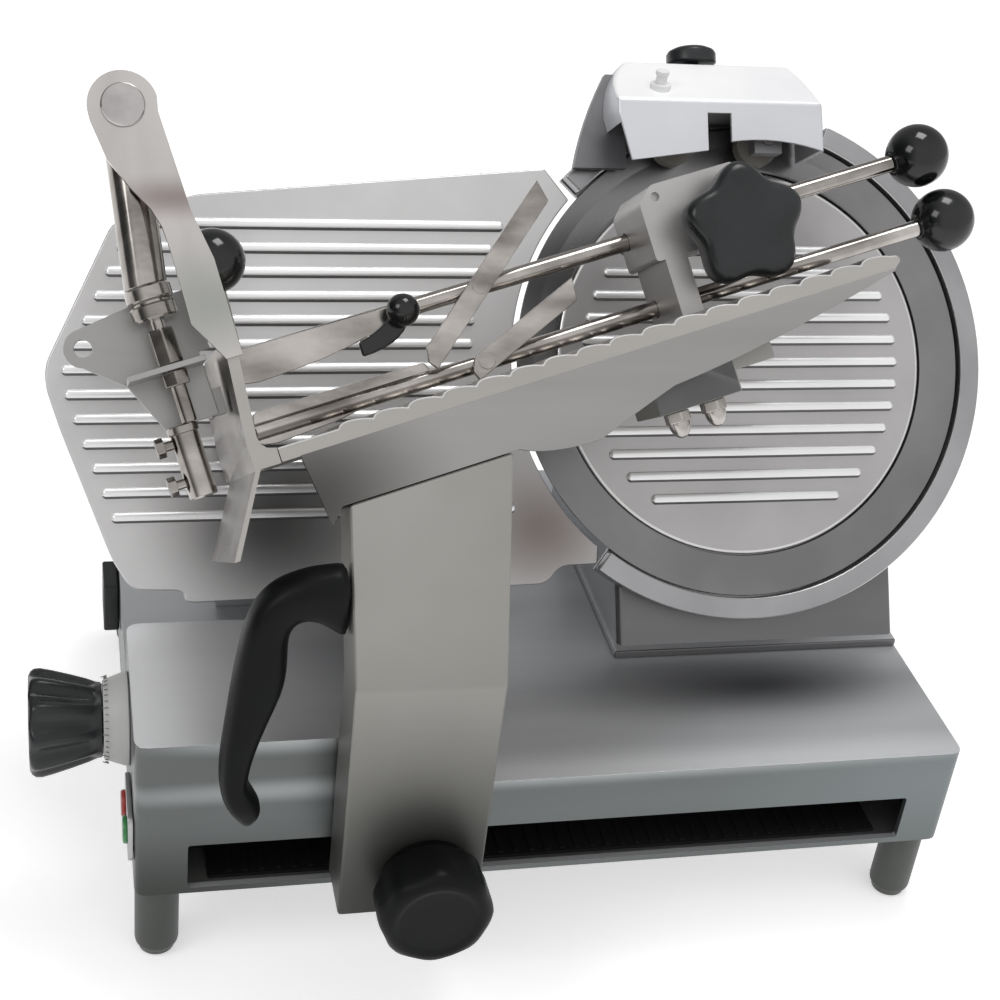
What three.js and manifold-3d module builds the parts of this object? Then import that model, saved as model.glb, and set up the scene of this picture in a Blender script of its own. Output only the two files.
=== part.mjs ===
// Gravity-feed meat slicer with a tilted round blade, a sliding carriage and a hand grip.
// Millimetres, +Z up. X is the way the carriage slides, and the front of the base faces -Y.
// The origin is the middle of the whole machine's footprint, on the surface that it stands on.

import * as THREE from "three";
import { mergeVertices } from "three/addons/utils/BufferGeometryUtils.js";
import Module from "manifold-3d";

const wasm = await Module();
wasm.setup();

// Driving dimensions

const degree = Math.PI / 180;
const fullTurn = 360;
const clearance = 0.3;
const overrun = 5;
const arcStep = 9;

const base = {
  length: 497, depth: 340, bottom: 61, lowTop: 130.7, raisedTop: 169.3, raisedLength: 168, raisedDepth: 114,
  wall: 4, corner: 8, topRound: 3,
};
const slot = { length: 438, bottom: 65, top: 97 };
const cover = { thickness: 2.5 };
const foot = { radius: 12.8, tipRadius: 10.5, tipHeight: 4, length: 57, insetX: 13.6, insetY: 19 };
const guide = { radius: 8, height: 105, depth: 40, pillarWidth: 18, pillarLength: 8 };
const track = { front: 8, back: 56, thickness: 2, ribHeight: 0.9, ribWidth: 3, ribPitch: 9.5, endMargin: 12 };
const trackScrew = { radius: 4, height: 1.6 };

const tilt = 33.68 * degree;
const bladeAxis = { x: 144.7, y: 204.8, z: 292.1 };
const blade = {
  radius: 150, discRadius: 124, hubRadius: 28, edge: 0.6, bevel: 11, faceDepth: 1.5, dish: 5, thickness: 2.4,
};
const disc = { radius: 123.2, back: 4.7, face: 1.9, rim: 2.2 };
const discRib = { count: 12, pitch: 14.45, first: -86.9, reach: 108, radius: 3, height: 2.2 };
const ring = {
  inner: 151.5, outer: 165, back: 7.4, step: 4, front: 3, startAngle: 232, endAngle: 428,
  barStart: 480, barEnd: 494.5,
};
const backplate = { radius: 165, cutRadius: 145, thickness: 3.6, back: 11.7, hole: 34 };
const pedestal = {
  left: 58.3, right: 248.3, faceDepth: 12, wall: 4, topV: 50, backDepth: 88, humpV: -70, humpBack: 300,
  humpTop: 152, lip: 3, lipHeight: 5, holeRadius: 34, opening: 16, pulleyRoom: 28,
};
const pulley = {
  hubRadius: 24, flangeRadius: 33, flangeDepth: 7.7, flangeThickness: 2.2, radius: 38, front: 38, back: 50,
  bore: 6.4,
};
const motorPulley = { radius: 18, drop: 150 };
const motorBody = { radius: 36, front: 62, back: 122, shaftRadius: 6, footX: 44, footDepth: 40 };
const belt = { thickness: 5, width: 9 };
const tieBolt = { radius: 5, knobRadius: 17, knobLength: 16, headRadius: 11 };

const gauge = { reach: 436, top: 125, bottom: 142, thickness: 8.5, face: 1.5, gap: 3, travel: 15 };
const gaugeRib = { count: 13, pitch: 14.66, first: -90.1, radius: 3, height: 2, inset: 9, clear: 28 };
const carrier = {
  left: -345, right: -215, bottom: -92, top: -44, thickness: 6, rodRadius: 7, rodLength: 78, rodInset: 18,
  gap: 0.3,
};
const support = { left: -190, right: -80, frontDepth: 35, backDepth: 76, topV: -36, lowV: -92, footFront: 182,
  footBack: 292, footHeight: 8 };

const knob = {
  axisY: 72, axisZ: 132.5, dialLength: 14.5, dialBase: 27.5, dialTip: 22.8, neck: 22, flare: 31, length: 41,
  flutes: 10, fluteDepth: 1.8, shaftRadius: 5, shaftLength: 31, camRadius: 16, camThickness: 6, rim: 3,
};
const switchPlate = { y: 28, z: 97, width: 44, height: 32, thickness: 3 };
const button = { radius: 8, proud: 3.4, spacing: 22, depth: 2.4, travel: 2 };
const inlet = { y: 236, z: 104, width: 30, height: 36, proud: 10, mouth: 6 };

const arm = { left: -139.8, right: -59.9, front: -45, bottom: 79, thickness: 38, flare: 11, topGap: 39 };
const block = { width: 60, centre: -100, depth: 40, tongueLow: 72, tongueHigh: 92, top: 120 };
const bush = { outer: 11, wall: 2.6, length: 16 };
const lockKnob = {
  x: -92, z: 106.5, radius: 32, neck: 26, length: 38, flutes: 8, fluteDepth: 1.4, round: 5,
};
const grip = {
  thickness: 25, inset: 12, lean: 0.2, rootHeight: 270.2, middleHeight: 216.9, reach: 68, drop: 147.3,
  sides: 16, squareness: 0.75, tipShare: 0.8,
};

const traySlope = 16.4 * degree;
const tray = {
  cornerAcross: -328.9, cornerUp: -61.6, front: 177, back: 6, length: 369, thickness: 8, seam: 8.3,
  wave: 2.6, wavePitch: 19, tipRound: 5,
};
const wall = {
  height: 60, thickness: 6, overhang: 5, skirtDrop: 49, skirtLean: 27, skirtBack: 30, skin: 3,
};
const apron = { skin: 3, boxBack: 139, boxLeft: 26, boxRight: 134, drop: 38.7, deepDrop: 47 };
const flange = { eyeX: -12.9, eyeY: 185.3, eyeRadius: 17.6, hole: 6.4, thickness: 3, width: 37, height: 152,
  foot: 50 };
const post = {
  radius: 11, d: 162.6, bottomX: -28.5, bottomY: 97.6, capRadius: 11, capThickness: 2.4, pinRadius: 5.8,
  eyeRadius: 13, eyeThickness: 20,
};
const collar = { radius: 12, height: 8.6, neck: 9, bottom: 79.4, studRadius: 4, nutRadius: 7.4, nutTop: 75,
  lowNutEnd: 45 };
const ear = {
  d: 148, thickness: 3.6, holeX: -67.2, holeY: 78.2, holeRadius: 4.6, endRadius: 10, top: 93, right: -5.4,
  lipTop: 56, lipThickness: 3, lipReach: 26, lipLeft: -52, foot: 26, footLeft: -40, holeStud: 4.6,
  flangeBack: 112, flangeWidth: 3,
};
const stop = { radius: 7.4, top: 25.6, bottom: -12.6, x: -33, ringHeight: 4, ringRadius: 8.2, boltHead: 5.4,
  boltHeadLength: 4.5, boltShank: 2.5, boltGap: 4, boltPlaces: [17.3, -3.1] };

const rod = {
  radius: 5, d: 100, left: 9, right: 420, lowExtra: 4, highT: 54, lowT: 12.5, ballRadius: 18.8, neck: 6.4,
};
const shoe = { thickness: 3, start: 8, length: 104, height: 20, highDrop: 16, lowDrop: 9 };
const finger = { thickness: 4, width: 12, hub: 5, gap: 0.4 };
const fingerHigh = { fromS: 112, fromT: 21, toS: 207, toT: 97 };
const fingerLow = { fromS: 134.5, fromT: 8.8, toS: 208, toT: 38 };
const pusherKnob = { s: 15.5, top: 109, footS: 13, ball: 18, stem: 2.9 };
const camLever = {
  s: 82, t: 40, reachS: 22.5, reachT: 12.5, ball: 9.2, width: 11, thickness: 4, hub: 5, ballLift: 7,
};
const clamp = {
  left: 246, right: 306, top: 78, bottom: 36, back: 89, front: 140, legLeft: 251, legRight: 264,
  chamfer: 9, bore: 5.5, baseLeft: 214, baseRight: 264, baseBottom: -46, baseBack: 118, baseFront: 160,
  wingRight: 288, wingBottom: -34,
};
const domeNut = { radius: 7.5, hexHeight: 6, domeHeight: 9, places: [228, 250], d: 146 };
const star = {
  s: 293.5, t: 40.5, turn: 10 * degree, radius: 35, waist: 0.18, lobes: 5, thickness: 20, standoff: 9, studRadius: 5,
  hubRadius: 11, edge: 4,
};

const sharpener = {
  left: -93, right: 41, crease: 157.7, front: 45, bottom: 118.7, top: 190, topDepth: 3, skin: 2.2,
  slopeRise: 10, arcRadius: 134, cornerLeft: 24, cornerRight: 10, notchLeft: -35.6, notchRight: -21,
  notchTop: 150, bodyLeft: -68, bodyRight: 30,
  bodyFoot: 152, bodyBack: -23.7, bodyTop: 186, blockFoot: 168.5, blockFront: 6,
};
const cheek = { left: -113, right: -79, bottom: 121, top: 180, back: 7, front: 13, shoulder: 12 };
const pin = { u: -62, depth: 34, radius: 4.2, height: 11, collar: 6.5, collarHeight: 3 };
const liftKnob = { u: -27, d: -6, radius: 16, height: 11, stemRadius: 5, stemHeight: 6, chamfer: 4 };
const postBlock = { halfWidth: 25, back: -50, front: -24, top: 178 };
const stone = { radius: 13.6, height: 9, back: 7, shaft: 4, shaftLength: 20, v: 137, lugHalf: 9, lugBack: 24,
  lugFront: 34, places: [-48, 8] };

const finish = {
  aluminium: new THREE.MeshStandardMaterial({ color: 0xc4c3c5, roughness: 0.35, metalness: 0.9 }),
  polished: new THREE.MeshStandardMaterial({ color: 0xd6d3cf, roughness: 0.15, metalness: 1 }),
  armGrey: new THREE.MeshStandardMaterial({ color: 0x9a9a96, roughness: 0.5, metalness: 0.6 }),
  bladeSteel: new THREE.MeshStandardMaterial({ color: 0x7a797c, roughness: 0.25, metalness: 1 }),
  black: new THREE.MeshStandardMaterial({ color: 0x1c1f20, roughness: 0.4, metalness: 0 }),
  dial: new THREE.MeshStandardMaterial({ color: 0xe2dfd8, roughness: 0.5, metalness: 0 }),
  white: new THREE.MeshStandardMaterial({ color: 0xe9eaec, roughness: 0.4, metalness: 0.3 }),
  rubber: new THREE.MeshStandardMaterial({ color: 0x555552, roughness: 0.8, metalness: 0 }),
  bronze: new THREE.MeshStandardMaterial({ color: 0xa0743c, roughness: 0.4, metalness: 1 }),
  stone: new THREE.MeshStandardMaterial({ color: 0x8d8a84, roughness: 0.95, metalness: 0 }),
  green: new THREE.MeshStandardMaterial({ color: 0x2f7d46, roughness: 0.4, metalness: 0 }),
  red: new THREE.MeshStandardMaterial({ color: 0xa8352c, roughness: 0.4, metalness: 0 }),
};

// Solids: joining, cutting and placing

function solid(geometry) {
  const bare = geometry.clone();
  for (const name of ["normal", "uv"]) bare.deleteAttribute(name);
  const merged = mergeVertices(bare, 1e-4);
  return new wasm.Manifold(new wasm.Mesh({
    numProp: 3,
    vertProperties: new Float32Array(merged.attributes.position.array),
    triVerts: new Uint32Array(merged.index.array),
  }));
}

function geometryOf(made) {
  const mesh = made.getMesh();
  const geometry = new THREE.BufferGeometry();
  geometry.setAttribute("position", new THREE.BufferAttribute(new Float32Array(mesh.vertProperties), 3));
  geometry.setIndex(new THREE.BufferAttribute(new Uint32Array(mesh.triVerts), 1));
  return geometry;
}

function join(...geometries) {
  return geometryOf(geometries.map(solid).reduce((sum, next) => sum.add(next)));
}

function cut(geometry, ...tools) {
  return geometryOf(tools.map(solid).reduce((left, tool) => left.subtract(tool), solid(geometry)));
}

function common(geometry, other) {
  return geometryOf(solid(geometry).intersect(solid(other)));
}

function box(x0, x1, y0, y1, z0, z1) {
  return new THREE.BoxGeometry(x1 - x0, y1 - y0, z1 - z0)
    .translate((x0 + x1) / 2, (y0 + y1) / 2, (z0 + z1) / 2);
}

function cylinder(radius, from, to, segments = 24) {
  const start = new THREE.Vector3(...from);
  const along = new THREE.Vector3(...to).sub(start);
  const turn = new THREE.Quaternion()
    .setFromUnitVectors(new THREE.Vector3(0, 1, 0), along.clone().normalize());
  const middle = start.addScaledVector(along, 0.5);
  return new THREE.CylinderGeometry(radius, radius, along.length(), segments)
    .applyQuaternion(turn)
    .translate(middle.x, middle.y, middle.z);
}

function ball(radius, x, y, z, segments = 18) {
  return new THREE.SphereGeometry(radius, segments, segments / 2).translate(x, y, z);
}

// A profile of [radius, height] points turned about Z. It runs from low to high along the outside.
function turned(profile, segments = 48) {
  const points = profile.map(([radius, height]) => new THREE.Vector2(radius, height));
  return new THREE.LatheGeometry(points, segments).rotateX(Math.PI / 2);
}

function tube(outer, inner, z0, z1, segments = 48) {
  return turned([[inner, z0], [outer, z0], [outer, z1], [inner, z1], [inner, z0]], segments);
}

function outline(points) {
  return new THREE.Shape(points.map(([x, y]) => new THREE.Vector2(x, y)));
}

// An outline whose corners are rounded by a radius, as three-point curves
function softOutline(points, radius) {
  const corners = points.map(([x, y]) => new THREE.Vector2(x, y));
  const shape = new THREE.Shape();
  corners.forEach((corner, i) => {
    const before = corners[(i + corners.length - 1) % corners.length];
    const after = corners[(i + 1) % corners.length];
    const towards = (other) => {
      const way = other.clone().sub(corner);
      return corner.clone().addScaledVector(way.clone().normalize(), Math.min(radius, way.length() / 2.01));
    };
    const start = towards(before);
    const end = towards(after);
    if (i === 0) shape.moveTo(start.x, start.y);
    else shape.lineTo(start.x, start.y);
    shape.quadraticCurveTo(corner.x, corner.y, end.x, end.y);
  });
  shape.closePath();
  return shape;
}

// An outline drawn in x and y, with its thickness from z0 to z1
function plate(shape, z0, z1, bevel = 0, curveSegments = 6) {
  const geometry = new THREE.ExtrudeGeometry(shape, {
    depth: z1 - z0 - 2 * bevel, bevelEnabled: bevel > 0, bevelThickness: bevel, bevelSize: bevel,
    bevelOffset: -bevel, bevelSegments: 2, curveSegments,
  });
  return geometry.translate(0, 0, z0 + bevel);
}

// An outline drawn in y and z, with its thickness from x0 to x1
function beam(shape, x0, x1) {
  const turn = new THREE.Matrix4().makeBasis(
    new THREE.Vector3(0, 1, 0), new THREE.Vector3(0, 0, 1), new THREE.Vector3(1, 0, 0));
  return plate(shape, x0, x1).applyMatrix4(turn);
}

function fromShares(shares, width, height, x = 0, y = 0) {
  return shares.map(([across, up]) => [x + across * width, y + up * height]);
}

// Flutes pressed into a turned shape: the radius falls between the ridges
function flute(geometry, count, depth, fromZ, toZ) {
  const place = geometry.attributes.position;
  for (let i = 0; i < place.count; i += 1) {
    const x = place.getX(i);
    const y = place.getY(i);
    const z = place.getZ(i);
    const radius = Math.hypot(x, y);
    if (radius > 2 * depth && z >= fromZ && z <= toZ) {
      const share = 1 - (depth / radius) * (0.5 - 0.5 * Math.cos(count * Math.atan2(y, x)));
      place.setXYZ(i, x * share, y * share, z);
    }
  }
  return geometry;
}

const machine = new THREE.Group();
const cutting = new THREE.Group();
cutting.rotation.x = Math.PI / 2 - tilt;
cutting.position.set(bladeAxis.x, bladeAxis.y, bladeAxis.z);
machine.add(cutting);
const trayFrame = new THREE.Group();
trayFrame.position.set(tray.cornerAcross, tray.cornerUp, 0);
trayFrame.rotation.z = traySlope;
cutting.add(trayFrame);
machine.updateMatrixWorld(true);

function add(group, name, geometry, material) {
  const mesh = new THREE.Mesh(geometry, material);
  mesh.name = name;
  group.add(mesh);
}

// A point of the blade's plane, as [y, z] of the machine: v up the slope, d in front of the blade
function onSlope(v, d) {
  const y = bladeAxis.y + v * Math.sin(tilt) - d * Math.cos(tilt);
  const z = bladeAxis.z + v * Math.cos(tilt) + d * Math.sin(tilt);
  return [y, z];
}

// Base housing: a low and a raised casting, hollow, with the carriage slot in its front

function castBlock(x0, x1, y0, y1, z0, z1) {
  const shape = softOutline([[x0, y0], [x1, y0], [x1, y1], [x0, y1]], base.corner);
  const whole = plate(shape, z0 - base.topRound, z1, base.topRound, 4);
  return cut(whole, box(x0 - overrun, x1 + overrun, y0 - overrun, y1 + overrun, z0 - 2 * overrun, z0));
}

const baseLeft = -base.length / 2;
const baseRight = base.length / 2;
const raisedRight = baseLeft + base.raisedLength;
const coverTop = base.bottom + cover.thickness;

function hollow(x1, y1, z1) {
  return box(baseLeft + base.wall, x1 - base.wall, base.wall, y1 - base.wall,
    base.bottom - overrun, z1 - base.wall);
}

function baseHousing() {
  const low = castBlock(baseLeft, baseRight, 0, base.depth, base.bottom, base.lowTop);
  const raised = castBlock(baseLeft, raisedRight, 0, base.raisedDepth, base.bottom, base.raisedTop);
  const pulleyY = onSlope(-motorPulley.drop, -(pulley.front + pulley.back) / 2)[0];
  const opening = box(
    pedestal.left + pedestal.opening, pedestal.right - pedestal.opening,
    pulleyY - pedestal.pulleyRoom, pedestal.humpBack - pedestal.opening,
    base.lowTop - 2 * base.wall, base.lowTop + overrun);
  const slotCut = box(-slot.length / 2, slot.length / 2, -overrun, base.wall + overrun,
    slot.bottom, slot.top);
  const shaftHole = cylinder(knob.shaftRadius + 2 * clearance,
    [baseLeft - overrun, knob.axisY, knob.axisZ], [baseLeft + 2 * base.wall, knob.axisY, knob.axisZ]);
  const buttonHoles = [-1, 1].map((side) => cylinder(button.radius - 1 + 2 * clearance,
    [baseLeft - overrun, switchPlate.y + side * button.spacing / 2, switchPlate.z],
    [baseLeft + 2 * base.wall, switchPlate.y + side * button.spacing / 2, switchPlate.z]));
  return cut(join(low, raised), hollow(baseRight, base.depth, base.lowTop),
    hollow(raisedRight, base.raisedDepth, base.raisedTop), opening, slotCut, shaftHole, ...buttonHoles);
}

function bottomCover() {
  const inset = base.wall + clearance;
  return box(baseLeft + inset, baseRight - inset, inset, base.depth - inset, base.bottom, coverTop);
}

function footAt(x, y) {
  const top = base.bottom - clearance;
  const low = base.bottom - foot.length;
  const profile = [
    [0, low], [foot.tipRadius, low], [foot.radius, low + foot.tipHeight], [foot.radius, top], [0, top]];
  return turned(profile, 24).translate(x, y, 0);
}

function guideRod() {
  const end = base.length / 2 - base.wall - clearance;
  const bar = cylinder(guide.radius, [-end, guide.depth, guide.height], [end, guide.depth, guide.height], 32);
  const pillars = [-end, end - guide.pillarLength].map((x) => box(x, x + guide.pillarLength,
    guide.depth - guide.pillarWidth / 2, guide.depth + guide.pillarWidth / 2,
    coverTop + clearance, base.lowTop - base.wall - clearance));
  return join(bar, ...pillars);
}

function trackStrip() {
  const bottom = coverTop + clearance;
  const top = bottom + track.thickness;
  const end = slot.length / 2 - track.endMargin;
  const strip = box(-end, end, track.front, track.back - guide.pillarWidth / 2, bottom, top);
  const ribs = [];
  for (let x = -end + track.ribPitch; x < end - track.ribPitch; x += track.ribPitch) {
    ribs.push(box(x, x + track.ribWidth, track.front + track.thickness, track.back - guide.pillarWidth,
      top - clearance, top + track.ribHeight));
  }
  return join(strip, ...ribs);
}

// Blade pedestal: the hollow casting behind the blade, over the belt and the motor

function pedestalProfile(inset) {
  const frontFoot = onSlope(0, -pedestal.faceDepth);
  const slope = Math.tan(tilt);
  const floor = base.lowTop + clearance;
  const frontY = frontFoot[0] - (frontFoot[1] - floor) * slope;
  const points = [
    [frontY, floor], onSlope(pedestal.topV, -pedestal.faceDepth), onSlope(pedestal.topV, -pedestal.backDepth),
    onSlope(pedestal.humpV, -pedestal.backDepth), [pedestal.humpBack, pedestal.humpTop],
    [pedestal.humpBack, floor],
  ];
  if (inset === 0) return points;
  const topV = pedestal.topV - inset;
  return [
    [frontY + inset / Math.cos(tilt), floor - overrun], [frontY + inset / Math.cos(tilt), floor],
    onSlope(topV, -pedestal.faceDepth - inset), onSlope(topV, -pedestal.backDepth + inset),
    onSlope(pedestal.humpV, -pedestal.backDepth + inset),
    [pedestal.humpBack - inset, pedestal.humpTop - inset], [pedestal.humpBack - inset, floor - overrun],
  ];
}

function pedestalCasting() {
  const outer = beam(outline(pedestalProfile(0)), pedestal.left, pedestal.right);
  const inner = beam(outline(pedestalProfile(pedestal.wall)), pedestal.left + pedestal.wall,
    pedestal.right - pedestal.wall);
  const frontHole = onAxis(cylinder(pedestal.holeRadius, [0, 0, -pedestal.faceDepth + overrun],
    [0, 0, -pedestal.faceDepth - 2 * pedestal.wall], 36));
  const backHole = onAxis(cylinder(tieBolt.radius + clearance, [0, 0, -pedestal.backDepth - overrun],
    [0, 0, -pedestal.backDepth + 2 * pedestal.wall], 24));
  const foot = pedestalProfile(0)[0];
  const lip = box(pedestal.left - pedestal.lip, pedestal.right, foot[0] - pedestal.lip, pedestal.humpBack,
    foot[1], foot[1] + pedestal.lipHeight);
  const lipHollow = box(pedestal.left + pedestal.wall, pedestal.right - pedestal.wall,
    foot[0] + 2 * pedestal.wall, pedestal.humpBack - pedestal.wall, foot[1] - overrun,
    foot[1] + pedestal.lipHeight + clearance);
  return cut(join(outer, cut(lip, lipHollow)), inner, frontHole, backHole);
}

// Geometry made in the blade's frame, brought to the machine's frame
function onAxis(geometry) {
  return geometry.applyMatrix4(cutting.matrixWorld);
}

// Blade, deflector disc and guard ring, in the blade's own frame

function bladeDisc() {
  const inner = blade.discRadius;
  return turned([
    [blade.hubRadius, -blade.dish - blade.thickness], [inner, -blade.dish - blade.thickness],
    [blade.radius - blade.bevel, -blade.faceDepth - blade.thickness], [blade.radius, -2 * blade.edge],
    [blade.radius, -blade.edge], [blade.radius - blade.bevel, -blade.faceDepth],
    [inner + blade.faceDepth, -blade.faceDepth], [inner, -blade.dish], [blade.hubRadius, -blade.dish],
    [blade.hubRadius, -blade.dish - blade.thickness],
  ], 60);
}

function deflector() {
  const plateShape = turned([
    [0, -disc.back], [disc.radius, -disc.back], [disc.radius, -disc.face - disc.rim / 2],
    [disc.radius - disc.rim, -disc.face], [0, -disc.face],
  ], 60);
  return join(plateShape, ...ribs(discRib, disc.face, (v) => {
    const half = Math.sqrt(discRib.reach ** 2 - v ** 2);
    return [-half, half];
  }));
}

// Straight half-round ribs with rounded ends, one for each height v
function ribs(rib, face, ends) {
  return Array.from({ length: rib.count }, (_, i) => {
    const v = rib.first + i * rib.pitch;
    const [from, to] = ends(v);
    return new THREE.CapsuleGeometry(rib.radius, to - from - 2 * rib.radius, 2, 6)
      .rotateZ(Math.PI / 2)
      .scale(1, 1, rib.height / rib.radius)
      .translate((from + to) / 2, v, -face);
  });
}

function sector(inner, outer, startAngle, endAngle, d0, d1) {
  const shape = new THREE.Shape();
  shape.absarc(0, 0, outer, startAngle * degree, endAngle * degree, false);
  shape.absarc(0, 0, inner, endAngle * degree, startAngle * degree, true);
  shape.closePath();
  const steps = Math.max(3, Math.round((endAngle - startAngle) / arcStep));
  return plate(shape, d0, d1, 0, steps);
}

function guardRing() {
  return join(
    sector(ring.inner, ring.outer, ring.startAngle, ring.barEnd, -ring.back, -ring.step),
    sector(ring.inner, ring.outer, ring.startAngle, ring.endAngle, -ring.step - clearance, ring.front),
    sector(ring.inner, ring.outer, ring.barStart, ring.barEnd, -ring.step - clearance, ring.front));
}

function backplateDisc() {
  const d0 = -backplate.back;
  const d1 = d0 + backplate.thickness;
  return cut(tube(backplate.radius, backplate.hole, d0, d1, 60),
    sector(backplate.cutRadius, backplate.radius + overrun, ring.barEnd - fullTurn + clearance, ring.startAngle,
      d0 - overrun, d1 + overrun));
}

// Drive: pulleys, belt and motor

function bladePulley() {
  const flangeBack = -pulley.flangeDepth - pulley.flangeThickness;
  const nose = blade.hubRadius - 2 * clearance;
  return turned([
    [pulley.bore, -pulley.back], [pulley.radius, -pulley.back], [pulley.radius, -pulley.front],
    [pulley.hubRadius, -pulley.front], [pulley.hubRadius, flangeBack], [pulley.flangeRadius, flangeBack],
    [pulley.flangeRadius, -pulley.flangeDepth], [nose, -pulley.flangeDepth], [nose, -blade.dish - clearance],
    [pulley.bore, -blade.dish - clearance], [pulley.bore, -pulley.back],
  ], 36);
}

function motorPulleyWheel() {
  const low = -motorBody.front + clearance;
  const shaft = motorBody.shaftRadius + clearance;
  return join(tube(motorPulley.radius, motorBody.shaftRadius, -pulley.back, -pulley.front, 32),
    turned([[0, low], [shaft, low], [shaft, -pulley.front], [0, -pulley.front]], 24))
    .translate(0, -motorPulley.drop, 0);
}

function beltLoop(offset) {
  const gap = motorPulley.drop;
  const big = pulley.radius + offset;
  const small = motorPulley.radius + offset;
  const lean = Math.asin((big - small) / gap);
  const shape = new THREE.Shape();
  shape.absarc(0, 0, big, -lean, Math.PI + lean, false);
  shape.absarc(0, -gap, small, Math.PI + lean, 2 * Math.PI - lean, false);
  shape.closePath();
  return shape;
}

function driveBelt() {
  const middle = (pulley.front + pulley.back) / 2;
  const d0 = -middle - belt.width / 2;
  const d1 = -middle + belt.width / 2;
  const gap = 2 * clearance;
  return cut(plate(beltLoop(gap + belt.thickness), d0, d1, 0, 16),
    plate(beltLoop(gap), d0 - overrun, d1 + overrun, 0, 16));
}

function motorWithFoot() {
  const body = onAxis(turned([
    [0, -motorBody.back], [motorBody.radius, -motorBody.back], [motorBody.radius, -motorBody.front],
    [0, -motorBody.front]], 36).translate(0, -motorPulley.drop, 0));
  const [middleY, middleZ] = onSlope(-motorPulley.drop, -(motorBody.front + motorBody.back) / 2);
  const stand = box(bladeAxis.x - motorBody.footX / 2, bladeAxis.x + motorBody.footX / 2,
    middleY - motorBody.footDepth / 2, middleY + motorBody.footDepth / 2, coverTop + clearance,
    middleZ - motorBody.radius / 2);
  return join(body, stand);
}

function tieBoltWithKnob() {
  const start = -disc.back - clearance;
  const end = -pedestal.backDepth - clearance;
  return join(cylinder(tieBolt.radius, [0, 0, end - overrun], [0, 0, start], 24),
    flute(turned([
      [0, end - tieBolt.knobLength], [tieBolt.knobRadius - 3, end - tieBolt.knobLength],
      [tieBolt.knobRadius, end - tieBolt.knobLength + 3], [tieBolt.knobRadius, end - 2],
      [tieBolt.headRadius, end], [0, end]], 40), 8, 1.2, end - tieBolt.knobLength, end - 1));
}

// Gauge plate with its carrier, and the support on the base that the carrier slides in

const gaugeLeftShares = [
  [-1, -0.085], [-0.982, -0.268], [-0.917, -0.81], [-0.892, -0.937], [-0.821, -0.947], [-0.821, -1],
  [-0.307, -0.972], [-0.289, -0.894], [-0.236, -0.891],
];
const gaugeTopShares = [[-0.294, 0.984], [-0.794, 0.828], [-0.906, 0.688], [-1, 0.01]];

function gaugeOutline() {
  const shape = new THREE.Shape();
  const lower = fromShares(gaugeLeftShares, gauge.reach, gauge.bottom);
  const upper = fromShares(gaugeTopShares, gauge.reach, gauge.top);
  shape.moveTo(...lower[0]);
  lower.slice(1).forEach((point) => shape.lineTo(...point));
  const radius = blade.radius + gauge.gap;
  shape.absarc(0, 0, radius, (ring.startAngle - 3) * degree,
      (ring.barEnd - fullTurn + 3) * degree, true);
  upper.forEach((point) => shape.lineTo(...point));
  shape.closePath();
  return shape;
}

// The plate's left edge at a height v, between its named corners
function gaugeLeftAt(v) {
  const corners = [
    ...fromShares(gaugeLeftShares, gauge.reach, gauge.bottom).slice(0, 4).reverse(),
    ...fromShares(gaugeTopShares, gauge.reach, gauge.top).reverse(),
  ];
  const next = corners.findIndex(([, y]) => y > v);
  const [x0, y0] = corners[next - 1];
  const [x1, y1] = corners[next];
  return x0 + (x1 - x0) * ((v - y0) / (y1 - y0));
}

function gaugePlate() {
  const reach = blade.radius + gaugeRib.clear;
  const body = plate(gaugeOutline(), -gauge.face - gauge.thickness, -gauge.face, 0, 28);
  return join(body, ...ribs(gaugeRib, gauge.face, (v) => [
    gaugeLeftAt(v) + gaugeRib.inset, -Math.sqrt(reach ** 2 - v ** 2)]));
}

const gaugeBack = -gauge.face - gauge.thickness;

function gaugeCarrier() {
  const front = gaugeBack - carrier.gap;
  const middle = (carrier.bottom + carrier.top) / 2;
  const bar = box(carrier.left, carrier.right, carrier.bottom, carrier.top, front - carrier.thickness, front);
  const rods = [carrier.left + carrier.rodInset, carrier.right - carrier.rodInset].map((u) =>
    cylinder(carrier.rodRadius, [u, middle, front - carrier.rodLength], [u, middle, front - clearance], 24));
  return join(bar, ...rods);
}

function gaugeSupport() {
  const shape = outline([
    [support.footFront, base.lowTop + clearance], [support.footBack, base.lowTop + clearance],
    [support.footBack, base.lowTop + clearance + support.footHeight],
    onSlope(support.lowV, -support.backDepth), onSlope(support.topV, -support.backDepth),
    onSlope(support.topV, -support.frontDepth), onSlope(support.lowV, -support.frontDepth),
    [support.footFront, base.lowTop + clearance + support.footHeight],
  ]);
  const middle = (carrier.bottom + carrier.top) / 2;
  const bores = [carrier.left + carrier.rodInset, carrier.right - carrier.rodInset].map((u) =>
    onAxis(cylinder(carrier.rodRadius + clearance, [u, middle, -support.backDepth - support.footHeight * 3],
      [u, middle, -support.frontDepth + overrun], 24)));
  return cut(beam(shape, support.left, support.right), ...bores);
}

// Thickness knob, its dial ring and its shaft with the cam disc, along X on the left side

function knobAlongX(geometry, x) {
  return geometry.rotateY(-Math.PI / 2).translate(x, knob.axisY, knob.axisZ);
}

function dialRing() {
  const inner = knob.shaftRadius + clearance;
  const ringBody = turned([
    [inner, 0], [knob.dialBase, 0], [knob.dialTip, knob.dialLength], [inner, knob.dialLength],
    [inner, 0]], 40);
  return knobAlongX(ringBody, baseLeft - clearance);
}

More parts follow.
